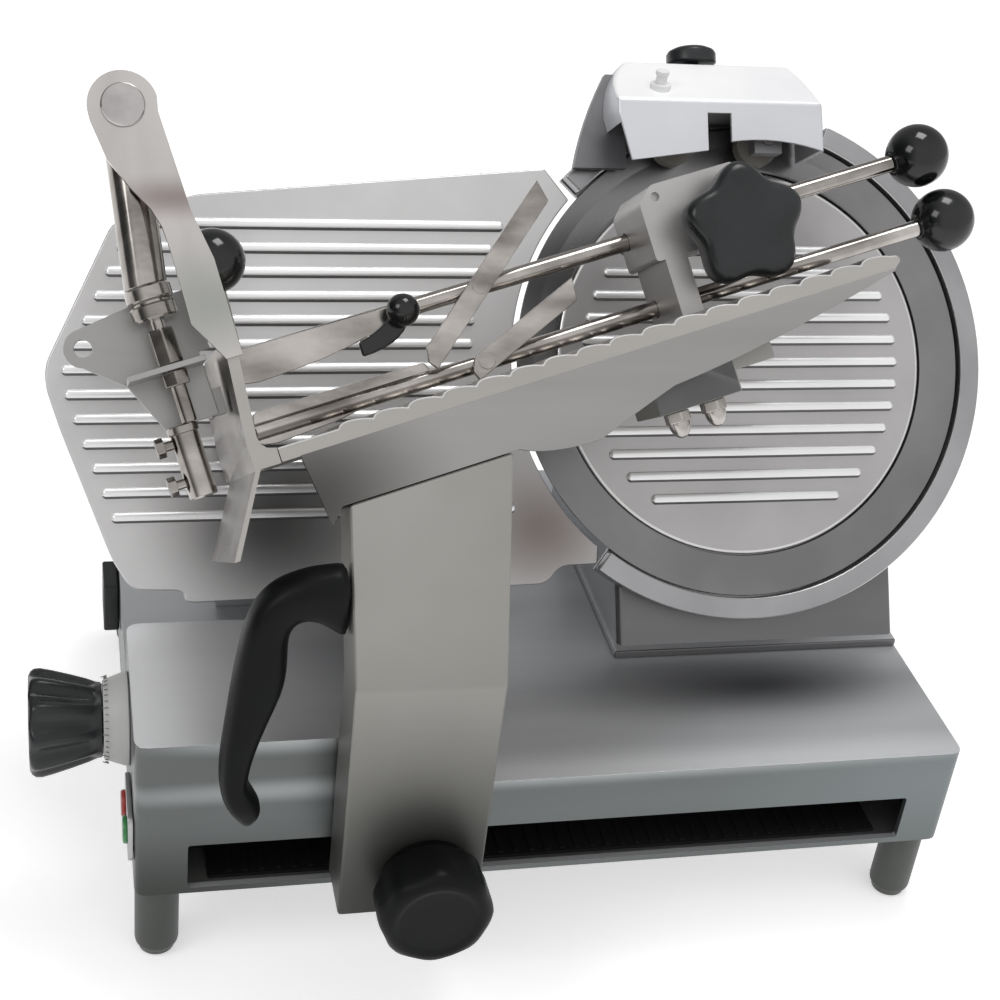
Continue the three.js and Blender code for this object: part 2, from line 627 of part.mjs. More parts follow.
function thicknessKnob() {
  const start = knob.dialLength + clearance;
  const grip = flute(turned([
    [0, start], [knob.neck, start], [knob.neck, start + knob.rim],
    [(knob.neck + knob.flare) / 2 + knob.rim / 2, start + knob.length / 2],
    [knob.flare, start + knob.length - knob.rim], [knob.flare - knob.rim, start + knob.length],
    [0, start + knob.length]], 60), knob.flutes, knob.fluteDepth, start + knob.rim, start + knob.length);
  const shaft = cylinder(knob.shaftRadius, [0, 0, -knob.shaftLength], [0, 0, start + knob.rim]);
  const cam = tube(knob.camRadius, knob.shaftRadius / 2, -knob.shaftLength,
    -knob.shaftLength + knob.camThickness, 36);
  return knobAlongX(join(grip, shaft, cam), baseLeft - clearance);
}

function switchPanel() {
  const x1 = baseLeft - clearance;
  const panel = box(x1 - switchPlate.thickness, x1, switchPlate.y - switchPlate.width / 2,
    switchPlate.y + switchPlate.width / 2, switchPlate.z - switchPlate.height / 2,
    switchPlate.z + switchPlate.height / 2);
  const holes = [-1, 1].map((side) => cylinder(button.radius + clearance,
    [x1 - 2 * overrun, switchPlate.y + side * button.spacing / 2, switchPlate.z],
    [x1 + overrun, switchPlate.y + side * button.spacing / 2, switchPlate.z]));
  return cut(panel, ...holes);
}

function pushButton(side) {
  const x1 = baseLeft - clearance - button.travel - clearance;
  const y = switchPlate.y + side * button.spacing / 2;
  const face = x1 - button.proud;
  return join(cylinder(button.radius, [face, y, switchPlate.z], [x1, y, switchPlate.z], 28),
    cylinder(button.radius - 1, [x1 - clearance, y, switchPlate.z],
      [baseLeft + base.wall - button.depth, y, switchPlate.z], 28));
}

function mainsInlet() {
  const x1 = baseLeft - clearance;
  const housing = box(x1 - inlet.proud, x1, inlet.y - inlet.width / 2, inlet.y + inlet.width / 2,
    inlet.z - inlet.height / 2, inlet.z + inlet.height / 2);
  const mouth = box(x1 - inlet.proud - overrun, x1 - inlet.proud + inlet.mouth,
    inlet.y - inlet.width / 3, inlet.y + inlet.width / 3,
    inlet.z - inlet.height / 3, inlet.z + inlet.height / 3);
  return cut(housing, mouth);
}

// Carriage arm, slide block, bushes, lock knob and hand grip, in the machine's frame

const armPlane = (() => {
  const [y, z] = onSlope(0, tray.front - clearance);
  return z - y / Math.tan(tilt);
})();

function armCrease(y) {
  return [y, armPlane + y / Math.tan(tilt)];
}

// The arm's right side leans out above its bend
function flared(geometry, fromZ) {
  const place = geometry.attributes.position;
  const rise = onSlope(0, tray.front)[1] - fromZ;
  for (let i = 0; i < place.count; i += 1) {
    if (place.getX(i) > arm.right - clearance && place.getZ(i) > fromZ) {
      place.setX(i, arm.right + (arm.flare * (place.getZ(i) - fromZ)) / rise);
    }
  }
  return geometry;
}

function carriageArm() {
  const crease = armCrease(arm.front);
  const bend = crease[1] - arm.thickness * Math.tan(tilt / 2);
  const back = arm.front + arm.thickness;
  const [topFront, topBack] = [0, -arm.thickness].map((deep) => onSlope(0, tray.front - clearance + deep));
  const lower = box(arm.left, arm.right, arm.front, back, arm.bottom, bend + clearance);
  const upper = flared(beam(outline([[arm.front, bend], [back, bend], topBack, topFront, crease]),
    arm.left, arm.right), bend);
  const above = box(-tray.length, tray.length, -arm.topGap, tray.length, -tray.length, 2 * tray.length)
    .applyMatrix4(trayFrame.matrixWorld);
  return cut(join(lower, upper), above);
}

function slideBlock() {
  const x0 = block.centre - block.width / 2;
  const x1 = block.centre + block.width / 2;
  const y0 = guide.depth - block.depth / 2;
  const body = box(x0, x1, y0, guide.depth + block.depth / 2, block.tongueLow, block.top);
  const tongue = box(x0, x1, arm.front + arm.thickness + clearance, y0 + clearance,
    block.tongueLow, block.tongueHigh);
  const bore = cylinder(bush.outer + clearance, [x0 - overrun, guide.depth, guide.height],
    [x1 + overrun, guide.depth, guide.height], 32);
  return cut(join(body, tongue), bore);
}

function slideBush(side) {
  const outerEnd = block.centre + side * block.width / 2;
  const x0 = Math.min(outerEnd, outerEnd - side * bush.length);
  return tube(bush.outer, bush.outer - bush.wall, 0, bush.length, 32)
    .rotateY(Math.PI / 2)
    .translate(x0, guide.depth, guide.height);
}

function lockKnobShape() {
  const body = flute(turned([
    [0, 0], [lockKnob.neck, 0], [lockKnob.neck, lockKnob.round],
    [lockKnob.radius, 2 * lockKnob.round], [lockKnob.radius, lockKnob.length - lockKnob.round],
    [lockKnob.radius - lockKnob.round / 2, lockKnob.length - lockKnob.round / 4],
    [lockKnob.radius - lockKnob.round, lockKnob.length], [0, lockKnob.length]], 56),
  lockKnob.flutes, lockKnob.fluteDepth, lockKnob.round, lockKnob.length - lockKnob.round / 2);
  return body.rotateX(Math.PI / 2).translate(lockKnob.x, arm.front - clearance, lockKnob.z);
}

// Pairs across the grip from its root to its tip: outer side, then inner side, as shares of reach and drop
const gripShares = [
  [0, 0.499, 0, 0.225], [-0.096, 0.497, -0.053, 0.225], [-0.193, 0.491, -0.114, 0.248],
  [-0.319, 0.48, -0.182, 0.275], [-0.452, 0.457, -0.265, 0.296], [-0.563, 0.431, -0.34, 0.301],
  [-0.658, 0.392, -0.4, 0.29], [-0.738, 0.343, -0.443, 0.263], [-0.788, 0.286, -0.456, 0.221],
  [-0.822, 0.221, -0.458, 0.176], [-0.849, 0.157, -0.459, 0.13], [-0.875, 0.088, -0.472, 0.081],
  [-0.898, 0.016, -0.503, 0.027], [-0.921, -0.06, -0.574, -0.045], [-0.943, -0.136, -0.652, -0.132],
  [-0.966, -0.212, -0.712, -0.212], [-0.974, -0.281, -0.746, -0.281], [-0.971, -0.33, -0.751, -0.323],
  [-0.95, -0.38, -0.72, -0.357], [-0.903, -0.421, -0.681, -0.387], [-0.842, -0.459, -0.65, -0.41],
  [-0.758, -0.503, -0.646, -0.429],
];

// A closed body through rings of points, each ring with as many points as the next
function loft(rings) {
  const count = rings[0].length;
  const positions = [];
  const push = (...points) => points.forEach((point) => positions.push(point.x, point.y, point.z));
  for (let i = 0; i + 1 < rings.length; i += 1) {
    for (let j = 0; j < count; j += 1) {
      const next = (j + 1) % count;
      push(rings[i][j], rings[i][next], rings[i + 1][next]);
      push(rings[i][j], rings[i + 1][next], rings[i + 1][j]);
    }
  }
  for (let j = 1; j + 1 < count; j += 1) {
    push(rings[0][0], rings[0][j + 1], rings[0][j]);
    const last = rings[rings.length - 1];
    push(last[0], last[j], last[j + 1]);
  }
  const geometry = new THREE.BufferGeometry();
  geometry.setAttribute("position", new THREE.BufferAttribute(new Float32Array(positions), 3));
  return geometry;
}

function gripRing([outerX, outerZ, innerX, innerZ], index) {
  const pairs = gripShares.length - 1;
  const root = arm.left - clearance;
  const outer = new THREE.Vector2(root + outerX * grip.reach, grip.middleHeight + outerZ * grip.drop);
  const inner = new THREE.Vector2(root + innerX * grip.reach, grip.middleHeight + innerZ * grip.drop);
  const middle = outer.clone().add(inner).multiplyScalar(0.5);
  const half = outer.clone().sub(inner).multiplyScalar(0.5);
  const taper = index > pairs - 2 ? grip.tipShare : 1;
  const armFront = Math.max(arm.front, (grip.rootHeight - armPlane) * Math.tan(tilt));
  const depth = armFront + grip.inset + (middle.y - grip.rootHeight) * grip.lean;
  return Array.from({ length: grip.sides }, (_, i) => {
    const angle = (2 * Math.PI * i) / grip.sides;
    const across = softStep(Math.cos(angle));
    const through = softStep(Math.sin(angle)) * taper;
    return new THREE.Vector3(middle.x + half.x * across, depth + through * grip.thickness / 2,
      middle.y + half.y * across);
  });
}

// Squares a circle's sine or cosine a little, so that the section has flatter sides
function softStep(value) {
  return Math.sign(value) * Math.abs(value) ** grip.squareness;
}

function handGrip() {
  return geometryOf(solid(loft(gripShares.map(gripRing))));
}

// Tray: floor, end wall with its skirt, apron, and what stands on the wall, in the tray's frame

function trayFloor() {
  const shape = new THREE.Shape();
  const end = tray.length;
  shape.moveTo(tray.seam, -tray.thickness);
  shape.lineTo(end - tray.tipRound, -tray.thickness);
  shape.quadraticCurveTo(end, -tray.thickness, end, -tray.thickness / 2);
  shape.quadraticCurveTo(end, 0, end - tray.tipRound, 0);
  const count = Math.floor((end - tray.tipRound - tray.seam - tray.wavePitch) / tray.wavePitch);
  for (let i = 0; i < count; i += 1) {
    const s = end - tray.tipRound - i * tray.wavePitch;
    shape.quadraticCurveTo(s - tray.wavePitch * 0.35, tray.wave, s - tray.wavePitch * 0.7, tray.wave);
    shape.quadraticCurveTo(s - tray.wavePitch * 0.9, tray.wave, s - tray.wavePitch, 0);
  }
  shape.lineTo(tray.seam, 0);
  shape.closePath();
  return plate(shape, tray.back, tray.front, 0, 3);
}

function endWall() {
  const seam = tray.seam - clearance;
  const inner = [[seam, 0], [seam / 2, seam / 4], [0, seam], [wall.overhang, wall.height]];
  const outer = [
    [wall.overhang - wall.thickness, wall.height], [-wall.thickness, seam], [-wall.thickness, -seam]];
  const skirt = [[-wall.skirtLean - wall.skin, -wall.skirtDrop], [-wall.skirtLean, -wall.skirtDrop],
    [-wall.skin, -tray.thickness]];
  const full = plate(outline([[seam, -tray.thickness], ...inner, ...outer, ...skirt]), tray.back, tray.front);
  const trim = box(-2 * wall.skirtDrop, -wall.skin, -2 * wall.skirtDrop, -tray.thickness,
    tray.back - overrun, wall.skirtBack);
  return cut(full, trim);
}

function apronOutline() {
  const under = -tray.thickness - clearance;
  const start = tray.seam + overrun + overrun;
  const shape = new THREE.Shape();
  shape.moveTo(start, under);
  shape.lineTo(start + overrun, -apron.deepDrop);
  shape.lineTo(apron.boxLeft + overrun, -apron.drop);
  shape.lineTo(apron.boxRight - overrun, -apron.drop);
  shape.quadraticCurveTo(apron.boxRight + 2 * overrun, -apron.deepDrop, tray.length * 0.47, -apron.deepDrop);
  shape.quadraticCurveTo(tray.length * 0.52, -apron.deepDrop * 0.86, tray.length * 0.6, -apron.drop * 0.82);
  shape.quadraticCurveTo(tray.length * 0.75, -apron.drop * 0.72,
    tray.length - tray.tipRound, under - clearance);
  shape.lineTo(tray.length - tray.tipRound, under);
  shape.closePath();
  return shape;
}

function trayApron() {
  const under = -tray.thickness - clearance;
  const skin = plate(apronOutline(), tray.front - apron.skin, tray.front, 0, 8);
  const carried = box(apron.boxLeft + overrun, apron.boxRight, -apron.drop, under, apron.boxBack,
    tray.front - apron.skin + clearance);
  return join(skin, carried);
}

const flangeShares = [
  [0.5, 0], [0.53, 0.33], [0.43, 0.5], [0.42, 0.84], [0.48, 0.9],
];
const flangeLeftShares = [
  [-0.49, 0.87], [-0.43, 0.73], [-0.02, 0.53], [0, 0.39], [-0.04, 0.14], [0.27, 0],
];

function postFlange() {
  const place = [flange.width, flange.height, -flange.eyeRadius + overrun, flange.foot];
  const right = fromShares(flangeShares, ...place);
  const left = fromShares(flangeLeftShares, ...place);
  const shape = new THREE.Shape();
  shape.moveTo(...right[0]);
  right.slice(1).forEach((point) => shape.lineTo(...point));
  shape.absarc(flange.eyeX, flange.eyeY, flange.eyeRadius, 0, Math.PI, false);
  left.forEach((point) => shape.lineTo(...point));
  shape.closePath();
  const hole = new THREE.Path();
  hole.absarc(flange.eyeX, flange.eyeY, flange.hole, 0, 2 * Math.PI, true);
  shape.holes.push(hole);
  return plate(shape, tray.front + clearance, tray.front + clearance + flange.thickness, 0, 12);
}

function guidePost() {
  const bar = cylinder(post.radius, [post.bottomX - overrun / 5, post.bottomY - overrun, post.d],
    [flange.eyeX, flange.eyeY, post.d], 28);
  const foot = box(-flange.height, flange.height, 0, post.bottomY, 0, 2 * post.d);
  const eye = cylinder(post.eyeRadius, [flange.eyeX, flange.eyeY, post.d - post.eyeThickness / 2],
    [flange.eyeX, flange.eyeY, post.d + post.eyeThickness / 2], 28);
  const face = tray.front + clearance + flange.thickness + clearance;
  const pinBar = cylinder(post.pinRadius, [flange.eyeX, flange.eyeY, post.d],
    [flange.eyeX, flange.eyeY, face + clearance]);
  const cap = cylinder(post.capRadius, [flange.eyeX, flange.eyeY, face],
    [flange.eyeX, flange.eyeY, face + post.capThickness], 28);
  const flat = box(-flange.height, flange.height, 0, 2 * flange.height,
    post.d + post.radius * 0.98, 2 * post.d);
  return join(cut(bar, foot, flat), eye, pinBar, cap);
}

function hexagon(radius, x, y0, y1, z) {
  return cylinder(radius, [x, y0, z], [x, y1, z], 6);
}

function postCollars() {
  const x = post.bottomX;
  const top = post.bottomY - clearance;
  const low = top - collar.height;
  const d = post.d + 2;
  return join(
    cylinder(collar.radius, [x, low + 1, d], [x, top, d]),
    cylinder(collar.neck, [x, low - 1, d], [x, low + 2, d]),
    cylinder(collar.radius, [x, low - collar.height, d], [x, low - 1 + clearance, d]),
    cylinder(collar.studRadius, [x, stop.top + clearance, d], [x, low, d]),
    hexagon(collar.nutRadius, x, ear.lipTop + clearance, collar.nutTop, d),
    hexagon(collar.nutRadius, x, collar.lowNutEnd, ear.lipTop - ear.lipThickness - clearance, d));
}

function earBracket() {
  const shape = new THREE.Shape();
  shape.moveTo(ear.right, ear.top);
  shape.lineTo(post.bottomX - overrun, ear.top);
  shape.lineTo(ear.holeX, ear.holeY + ear.endRadius);
  shape.absarc(ear.holeX, ear.holeY, ear.endRadius, Math.PI / 2, Math.PI * 1.4, false);
  shape.lineTo(ear.lipLeft, ear.lipTop - ear.lipThickness);
  shape.lineTo(ear.footLeft, ear.foot);
  shape.lineTo(ear.right - wall.thickness, ear.foot);
  shape.lineTo(ear.right - wall.thickness, wall.height + clearance);
  shape.lineTo(ear.right, wall.height + clearance);
  shape.closePath();
  const hole = new THREE.Path();
  hole.absarc(ear.holeX, ear.holeY, ear.holeRadius, 0, 2 * Math.PI, true);
  shape.holes.push(hole);
  const face = plate(shape, ear.d - ear.thickness, ear.d, 0, 10);
  const lip = box(ear.lipLeft, ear.right - wall.thickness, ear.lipTop - ear.lipThickness, ear.lipTop,
    ear.d - clearance, ear.d + ear.lipReach);
  const studHole = cylinder(ear.holeStud, [post.bottomX, 0, post.d + 2], [post.bottomX, ear.top, post.d + 2]);
  const back = box(ear.right - wall.thickness - ear.flangeWidth, ear.right - wall.thickness, ear.foot,
    wall.height + clearance, ear.flangeBack, ear.d - clearance);
  return join(face, cut(lip, studHole), back);
}

function stopCylinder() {
  const d = post.d;
  const bolts = stop.boltPlaces.flatMap((t) => [
    cylinder(stop.boltShank, [stop.x, t, d], [stop.x - stop.radius - stop.boltGap - 1, t, d], 12),
    cylinder(stop.boltHead, [stop.x - stop.radius - stop.boltGap, t, d],
      [stop.x - stop.radius - stop.boltGap - stop.boltHeadLength, t, d], 6)]);
  return join(cylinder(stop.radius, [stop.x, stop.bottom, d], [stop.x, stop.top - 1, d], 28),
    cylinder(stop.ringRadius, [stop.x, stop.top - stop.ringHeight, d], [stop.x, stop.top, d], 28), ...bolts);
}

// Product clamp: block, base, rods with shoes, ball knobs, fingers, levers and knobs

function clampBlock() {
  const upper = plate(softOutline([
    [clamp.left, clamp.bottom], [clamp.right, clamp.bottom], [clamp.right, clamp.top],
    [clamp.left + clamp.chamfer, clamp.top], [clamp.left, clamp.top - clamp.chamfer]], 2),
  clamp.back, clamp.front, 0, 3);
  const leg = box(clamp.legLeft, clamp.legRight, tray.wave + clearance, clamp.bottom + 1,
    clamp.back, clamp.front);
  const bores = [rod.highT, rod.lowT].map((t) => cylinder(clamp.bore, [clamp.left - overrun, t, rod.d],
    [clamp.right + overrun, t, rod.d]));
  return cut(join(upper, leg), ...bores);
}

function clampBase() {
  const under = -tray.thickness - clearance;
  return join(box(clamp.baseLeft, clamp.baseRight, clamp.baseBottom, under, clamp.baseBack, clamp.baseFront),
    box(clamp.baseRight - 1, clamp.wingRight, clamp.wingBottom, under, clamp.baseBack, clamp.baseFront));
}

function domeNutAt(s) {
  const top = clamp.baseBottom - clearance;
  const low = top - domeNut.hexHeight;
  const radius = domeNut.radius * 0.82;
  const steps = 6;
  const profile = Array.from({ length: steps + 1 }, (_, i) => {
    const angle = (i / steps) * (Math.PI / 2);
    return [radius * Math.sin(angle), -domeNut.domeHeight * Math.cos(angle)];
  });
  const dome = turned([...profile, [radius, 1], [0, 1]], 16)
    .rotateX(-Math.PI / 2)
    .translate(s, low, domeNut.d);
  return join(hexagon(domeNut.radius, s, low, top, domeNut.d), dome);
}

// The high rod's shoe lies in front of the rod, the low rod's shoe in the rod's own plane
const shoeBack = rod.d + rod.radius - clearance;
const shoeFront = shoeBack + shoe.thickness;
const shoeShares = [[0, 0.1], [0.02, 1], [0.5, 0.98], [1, 0.95], [1, 0.5], [0.7, 0.3], [0.45, 0.1], [0.1, 0]];

function clampRod(t, drop, back, extra) {
  const bar = cylinder(rod.radius, [rod.left, t, rod.d], [rod.right + extra, t, rod.d]);
  const blank = plate(softOutline(fromShares(shoeShares, shoe.length, shoe.height, shoe.start,
    t - drop), 4), back, back + shoe.thickness, 0, 3);
  return join(bar, blank);
}

function ballKnob(t, extra) {
  const s = rod.right + extra + clearance;
  const centre = s + rod.ballRadius - 1;
  const face = box(0, s, 0, 2 * clamp.top, 0, 2 * clamp.front);
  return cut(join(ball(rod.ballRadius, centre, t, rod.d),
    cylinder(rod.neck, [s, t, rod.d], [centre, t, rod.d])), face);
}

function fingerPlate({ fromS, fromT, toS, toT }, t) {
  const length = Math.hypot(toS - fromS, toT - fromT);
  const angle = Math.atan2(toT - fromT, toS - fromS);
  const half = finger.width / 2;
  const shape = outline([[0, -half], [length - half, -half], [length, half], [half, half], [0, 0]]);
  const d0 = rod.d + rod.radius + finger.gap;
  const strip = plate(shape, d0, d0 + finger.thickness).rotateZ(angle).translate(fromS, fromT, 0);
  const s = fromS + (t - fromT) / Math.tan(angle);
  return join(strip, cylinder(finger.hub, [s, t, d0], [s, t, d0 + finger.thickness], 24));
}

// The stem stands on the high rod's end
function pusherKnobShape() {
  const foot = [pusherKnob.footS, rod.highT + rod.radius + clearance, rod.d];
  const top = [pusherKnob.s, pusherKnob.top, rod.d];
  const below = box(-wall.height, wall.height, 0, foot[1], 0, 2 * rod.d);
  const stem = cylinder(pusherKnob.stem, [foot[0], foot[1] - 1, foot[2]], top, 16);
  return join(cut(stem, below), ball(pusherKnob.ball, ...top));
}

function camLeverShape() {
  const d0 = shoeFront + clearance;
  const d1 = d0 + camLever.thickness;
  const endS = camLever.reachS;
  const endT = camLever.reachT;
  const half = camLever.width / 2;
  const shape = new THREE.Shape();
  shape.moveTo(-half, -half);
  shape.quadraticCurveTo(endS, -half, endS + half, endT);
  shape.lineTo(endS - half, endT);
  shape.quadraticCurveTo(endS * 0.4, half, -half, half / 2);
  shape.closePath();
  const blank = plate(shape, d0 + camLever.thickness / 2, d1 + camLever.thickness / 2, 0, 6);
  const hub = cylinder(camLever.hub, [0, 0, d0], [0, 0, d1], 24);
  const tip = ball(camLever.ball, endS, endT, d1 + camLever.ballLift);
  return join(blank, hub, tip).translate(camLever.s, camLever.t, 0);
}

function starKnob() {
  const shape = new THREE.Shape();
  const steps = star.lobes * 8;
  for (let i = 0; i < steps; i += 1) {
    const angle = (i / steps) * 2 * Math.PI;
    const radius = star.radius * (1 - star.waist * (0.5 - 0.5 * Math.cos(star.lobes * angle)));
    const point = [radius * Math.cos(angle), radius * Math.sin(angle)];
    if (i === 0) shape.moveTo(...point);
    else shape.lineTo(...point);
  }
  shape.closePath();
  const back = clamp.front + star.standoff;
  return join(plate(shape, back, back + star.thickness, star.edge),
    cylinder(star.hubRadius, [0, 0, back - star.standoff / 2], [0, 0, back + 1]),
    cylinder(star.studRadius, [0, 0, clamp.front + clearance], [0, 0, back + 1]))
    .rotateZ(star.turn)
    .translate(star.s, star.t, 0);
}

// Sharpener over the top of the blade, in the blade's frame

function coverProfile(inset) {
  const { bottom, crease, front, top, topDepth } = sharpener;
  const shoulder = topDepth + overrun;
  if (inset === 0) {
    return [[bottom, front], [crease, front], [top, shoulder], [top, topDepth], [bottom, topDepth]];
  }
  return [[bottom - overrun, front - inset], [crease - inset, front - inset],
    [top - inset, shoulder - inset], [top - inset, topDepth - overrun],
    [bottom - overrun, topDepth - overrun]];
}

// What the cover loses under its lower edge: a slope on the left and an arc about the blade on the right
function coverTrims() {
  const { left, right, bottom, notchLeft, notchRight, notchTop, slopeRise, arcRadius, front } = sharpener;
  const deep = 2 * front;
  const arc = common(box(notchRight, right + overrun, 0, arcRadius, 0, deep),
    cylinder(arcRadius, [0, 0, 0], [0, 0, deep], 60));
  const notch = box(notchLeft, notchRight + 1, 0, notchTop, 0, deep);
  const slope = plate(outline([[left, bottom - overrun], [notchRight, bottom - overrun],
    [notchRight, bottom + slopeRise], [left, bottom]]), 0, deep);
  const corner = (cheek.right - left) * 0.7;
  const slant = plate(outline([[left - overrun, bottom - overrun], [left + corner, bottom - overrun],
    [left - 1, sharpener.crease - 2], [left - overrun, sharpener.crease]]), 0, deep);
  return [arc, notch, slope, slant];
}

// The cover's outline as seen from the front, with its rounded upper corners
function coverFace(inset) {
  const { left, right, bottom, top, crease, cornerLeft, cornerRight } = sharpener;
  const shape = new THREE.Shape();
  shape.moveTo(left + inset, bottom - overrun);
  shape.lineTo(right - inset, bottom - overrun);
  shape.lineTo(right - inset, crease - cornerRight);
  shape.quadraticCurveTo(right - inset, top - cornerRight, right - cornerRight - inset, top + overrun);
  shape.lineTo(left + cornerLeft + inset, top + overrun);
  shape.quadraticCurveTo(left + inset, top - cornerRight, left + inset, crease);
  shape.closePath();
  return plate(shape, -overrun, 2 * sharpener.front, 0, 5);
}

function sharpenerCover() {
  const outer = common(beam(outline(coverProfile(0)), sharpener.left, sharpener.right), coverFace(0));
  const inner = common(beam(outline(coverProfile(sharpener.skin)), sharpener.left, sharpener.right),
    coverFace(sharpener.skin));
  const slotForCheek = box(cheek.left, cheek.right + 1, cheek.bottom - overrun, cheek.top + clearance,
    cheek.back - clearance, cheek.front + clearance);
  const height = sharpener.crease + (sharpener.top - sharpener.crease)
    * ((sharpener.front - pin.depth) / (sharpener.front - sharpener.topDepth - overrun));
  const lift = (along) => [pin.u, height + along * Math.cos(tilt), pin.depth + along * Math.sin(tilt)];
  const peg = cylinder(pin.radius, lift(-1), lift(pin.height), 16);
  const collarRing = cylinder(pin.collar, lift(-1), lift(pin.collarHeight), 16);
  return join(cut(outer, inner, slotForCheek, ...coverTrims()), peg, collarRing);
}

function sharpenerBody() {
  const { bodyFoot, bodyTop, bodyBack, blockFoot, blockFront, front, crease, skin, topDepth } = sharpener;
  const inset = skin + clearance;
  const shape = outline([
    [bodyFoot, blockFront], [bodyFoot, front - inset], [crease - 2 * inset, front - inset],
    [bodyTop, topDepth + overrun - inset], [bodyTop, bodyBack], [blockFoot, bodyBack],
    [blockFoot, blockFront]]);
  const bridge = beam(shape, sharpener.bodyLeft, sharpener.bodyRight);
  const lugs = stone.places.map((u) => cut(
    box(u - stone.lugHalf, u + stone.lugHalf, stone.v - stone.lugHalf, bodyFoot + 1,
      stone.lugBack, stone.lugFront),
    cylinder(stone.shaft + clearance, [u, stone.v, 0], [u, stone.v, 2 * stone.lugFront])));
  const edge = new THREE.Shape();
  edge.moveTo(cheek.right, cheek.bottom);
  edge.lineTo(cheek.right, cheek.top);
  edge.lineTo(cheek.right - cheek.shoulder, cheek.top);
  edge.quadraticCurveTo(cheek.left + cheek.shoulder / 2, (cheek.bottom + cheek.top) / 2,
    cheek.left, cheek.bottom);
  edge.closePath();
  const side = plate(edge, cheek.back, cheek.front, 0, 6);
  const tie = box(cheek.right - 1, sharpener.bodyLeft + 3, bodyFoot, cheek.top,
    cheek.back, cheek.front);
  return join(bridge, ...lugs, side, tie);
}

function sharpenerPost() {
  return box(-postBlock.halfWidth, postBlock.halfWidth, pedestal.topV + clearance, postBlock.top,
    postBlock.back, postBlock.front);
}

function sharpenerKnob() {
  const low = sharpener.bodyTop + clearance;
  const { radius, stemRadius, stemHeight, chamfer } = liftKnob;
  const high = stemHeight + liftKnob.height;
  const body = turned([
    [0, 0], [stemRadius, 0], [stemRadius, stemHeight], [radius, stemHeight], [radius, high - chamfer],
    [radius - chamfer, high], [0, high]], 28);
  return body.rotateX(-Math.PI / 2).translate(liftKnob.u, low, liftKnob.d);
}

function stoneAt(u) {
  const face = stone.back + stone.height;
  return join(cylinder(stone.radius, [u, stone.v, stone.back], [u, stone.v, face], 32),
    cylinder(stone.shaft, [u, stone.v, stone.back + 1], [u, stone.v, face + stone.shaftLength]));
}

// Assembly

add(machine, "base_housing", baseHousing(), finish.aluminium);
add(machine, "bottom_cover", bottomCover(), finish.armGrey);
const feet = { front_left: [-1, -1], front_right: [1, -1], rear_left: [-1, 1], rear_right: [1, 1] };
for (const [place, [sideX, sideY]] of Object.entries(feet)) {
  const x = sideX * (base.length / 2 - foot.insetX);
  const y = base.depth / 2 + sideY * (base.depth / 2 - foot.insetY);
  add(machine, `foot_${place}`, footAt(x, y), finish.rubber);
}
add(machine, "guide_rod", guideRod(), finish.polished);
add(machine, "track_strip", trackStrip(), finish.black);
add(machine, "pedestal", pedestalCasting(), finish.aluminium);
add(cutting, "blade_backplate", backplateDisc(), finish.aluminium);
add(cutting, "guard_ring", guardRing(), finish.aluminium);
add(cutting, "deflector_disc", deflector(), finish.aluminium);
add(cutting, "disc_tie_bolt", tieBoltWithKnob(), finish.black);
add(cutting, "blade", bladeDisc(), finish.bladeSteel);
add(cutting, "blade_pulley", bladePulley(), finish.armGrey);
add(cutting, "motor_pulley", motorPulleyWheel(), finish.armGrey);
add(cutting, "drive_belt", driveBelt(), finish.black);
add(machine, "motor", motorWithFoot(), finish.armGrey);
add(cutting, "gauge_plate", gaugePlate(), finish.aluminium);
add(cutting, "gauge_carrier", gaugeCarrier(), finish.polished);
add(machine, "gauge_support", gaugeSupport(), finish.aluminium);
add(machine, "dial_ring", dialRing(), finish.dial);
add(machine, "thickness_knob", thicknessKnob(), finish.black);
add(machine, "switch_plate", switchPanel(), finish.polished);
add(machine, "start_button", pushButton(-1), finish.green);
add(machine, "stop_button", pushButton(1), finish.red);
add(machine, "mains_inlet", mainsInlet(), finish.black);
add(machine, "carriage_arm", carriageArm(), finish.armGrey);
add(machine, "slide_block", slideBlock(), finish.armGrey);
add(machine, "slide_bush_left", slideBush(-1), finish.bronze);
add(machine, "slide_bush_right", slideBush(1), finish.bronze);
add(machine, "lock_knob", lockKnobShape(), finish.black);
add(machine, "hand_grip", handGrip(), finish.black);
add(trayFrame, "tray_floor", trayFloor(), finish.polished);
add(trayFrame, "tray_end_wall", endWall(), finish.polished);
add(trayFrame, "tray_apron", trayApron(), finish.aluminium);
add(trayFrame, "post_flange", postFlange(), finish.polished);
add(trayFrame, "guide_post", guidePost(), finish.polished);
add(trayFrame, "post_collars", postCollars(), finish.polished);
add(trayFrame, "ear_bracket", earBracket(), finish.aluminium);
add(trayFrame, "stop_cylinder", stopCylinder(), finish.polished);
add(trayFrame, "clamp_block", clampBlock(), finish.aluminium);
add(trayFrame, "clamp_base", clampBase(), finish.armGrey);
domeNut.places.forEach((s, i) => add(trayFrame, `dome_nut_${i + 1}`, domeNutAt(s), finish.polished));
add(trayFrame, "star_knob", starKnob(), finish.black);
const clampSides = {
  high: [rod.highT, fingerHigh, shoe.highDrop, shoeBack, 0],
  low: [rod.lowT, fingerLow, shoe.lowDrop, rod.d - shoe.thickness / 2, rod.lowExtra],
};
for (const [side, [t, places, drop, back, extra]] of Object.entries(clampSides)) {
  add(trayFrame, `clamp_rod_${side}`, clampRod(t, drop, back, extra), finish.polished);
  add(trayFrame, `ball_knob_${side}`, ballKnob(t, extra), finish.black);
  add(trayFrame, `finger_${side}`, fingerPlate(places, t), finish.polished);
}
add(trayFrame, "pusher_knob", pusherKnobShape(), finish.black);
add(trayFrame, "cam_lever", camLeverShape(), finish.black);
add(cutting, "sharpener_post", sharpenerPost(), finish.aluminium);
add(cutting, "sharpener_body", sharpenerBody(), finish.armGrey);
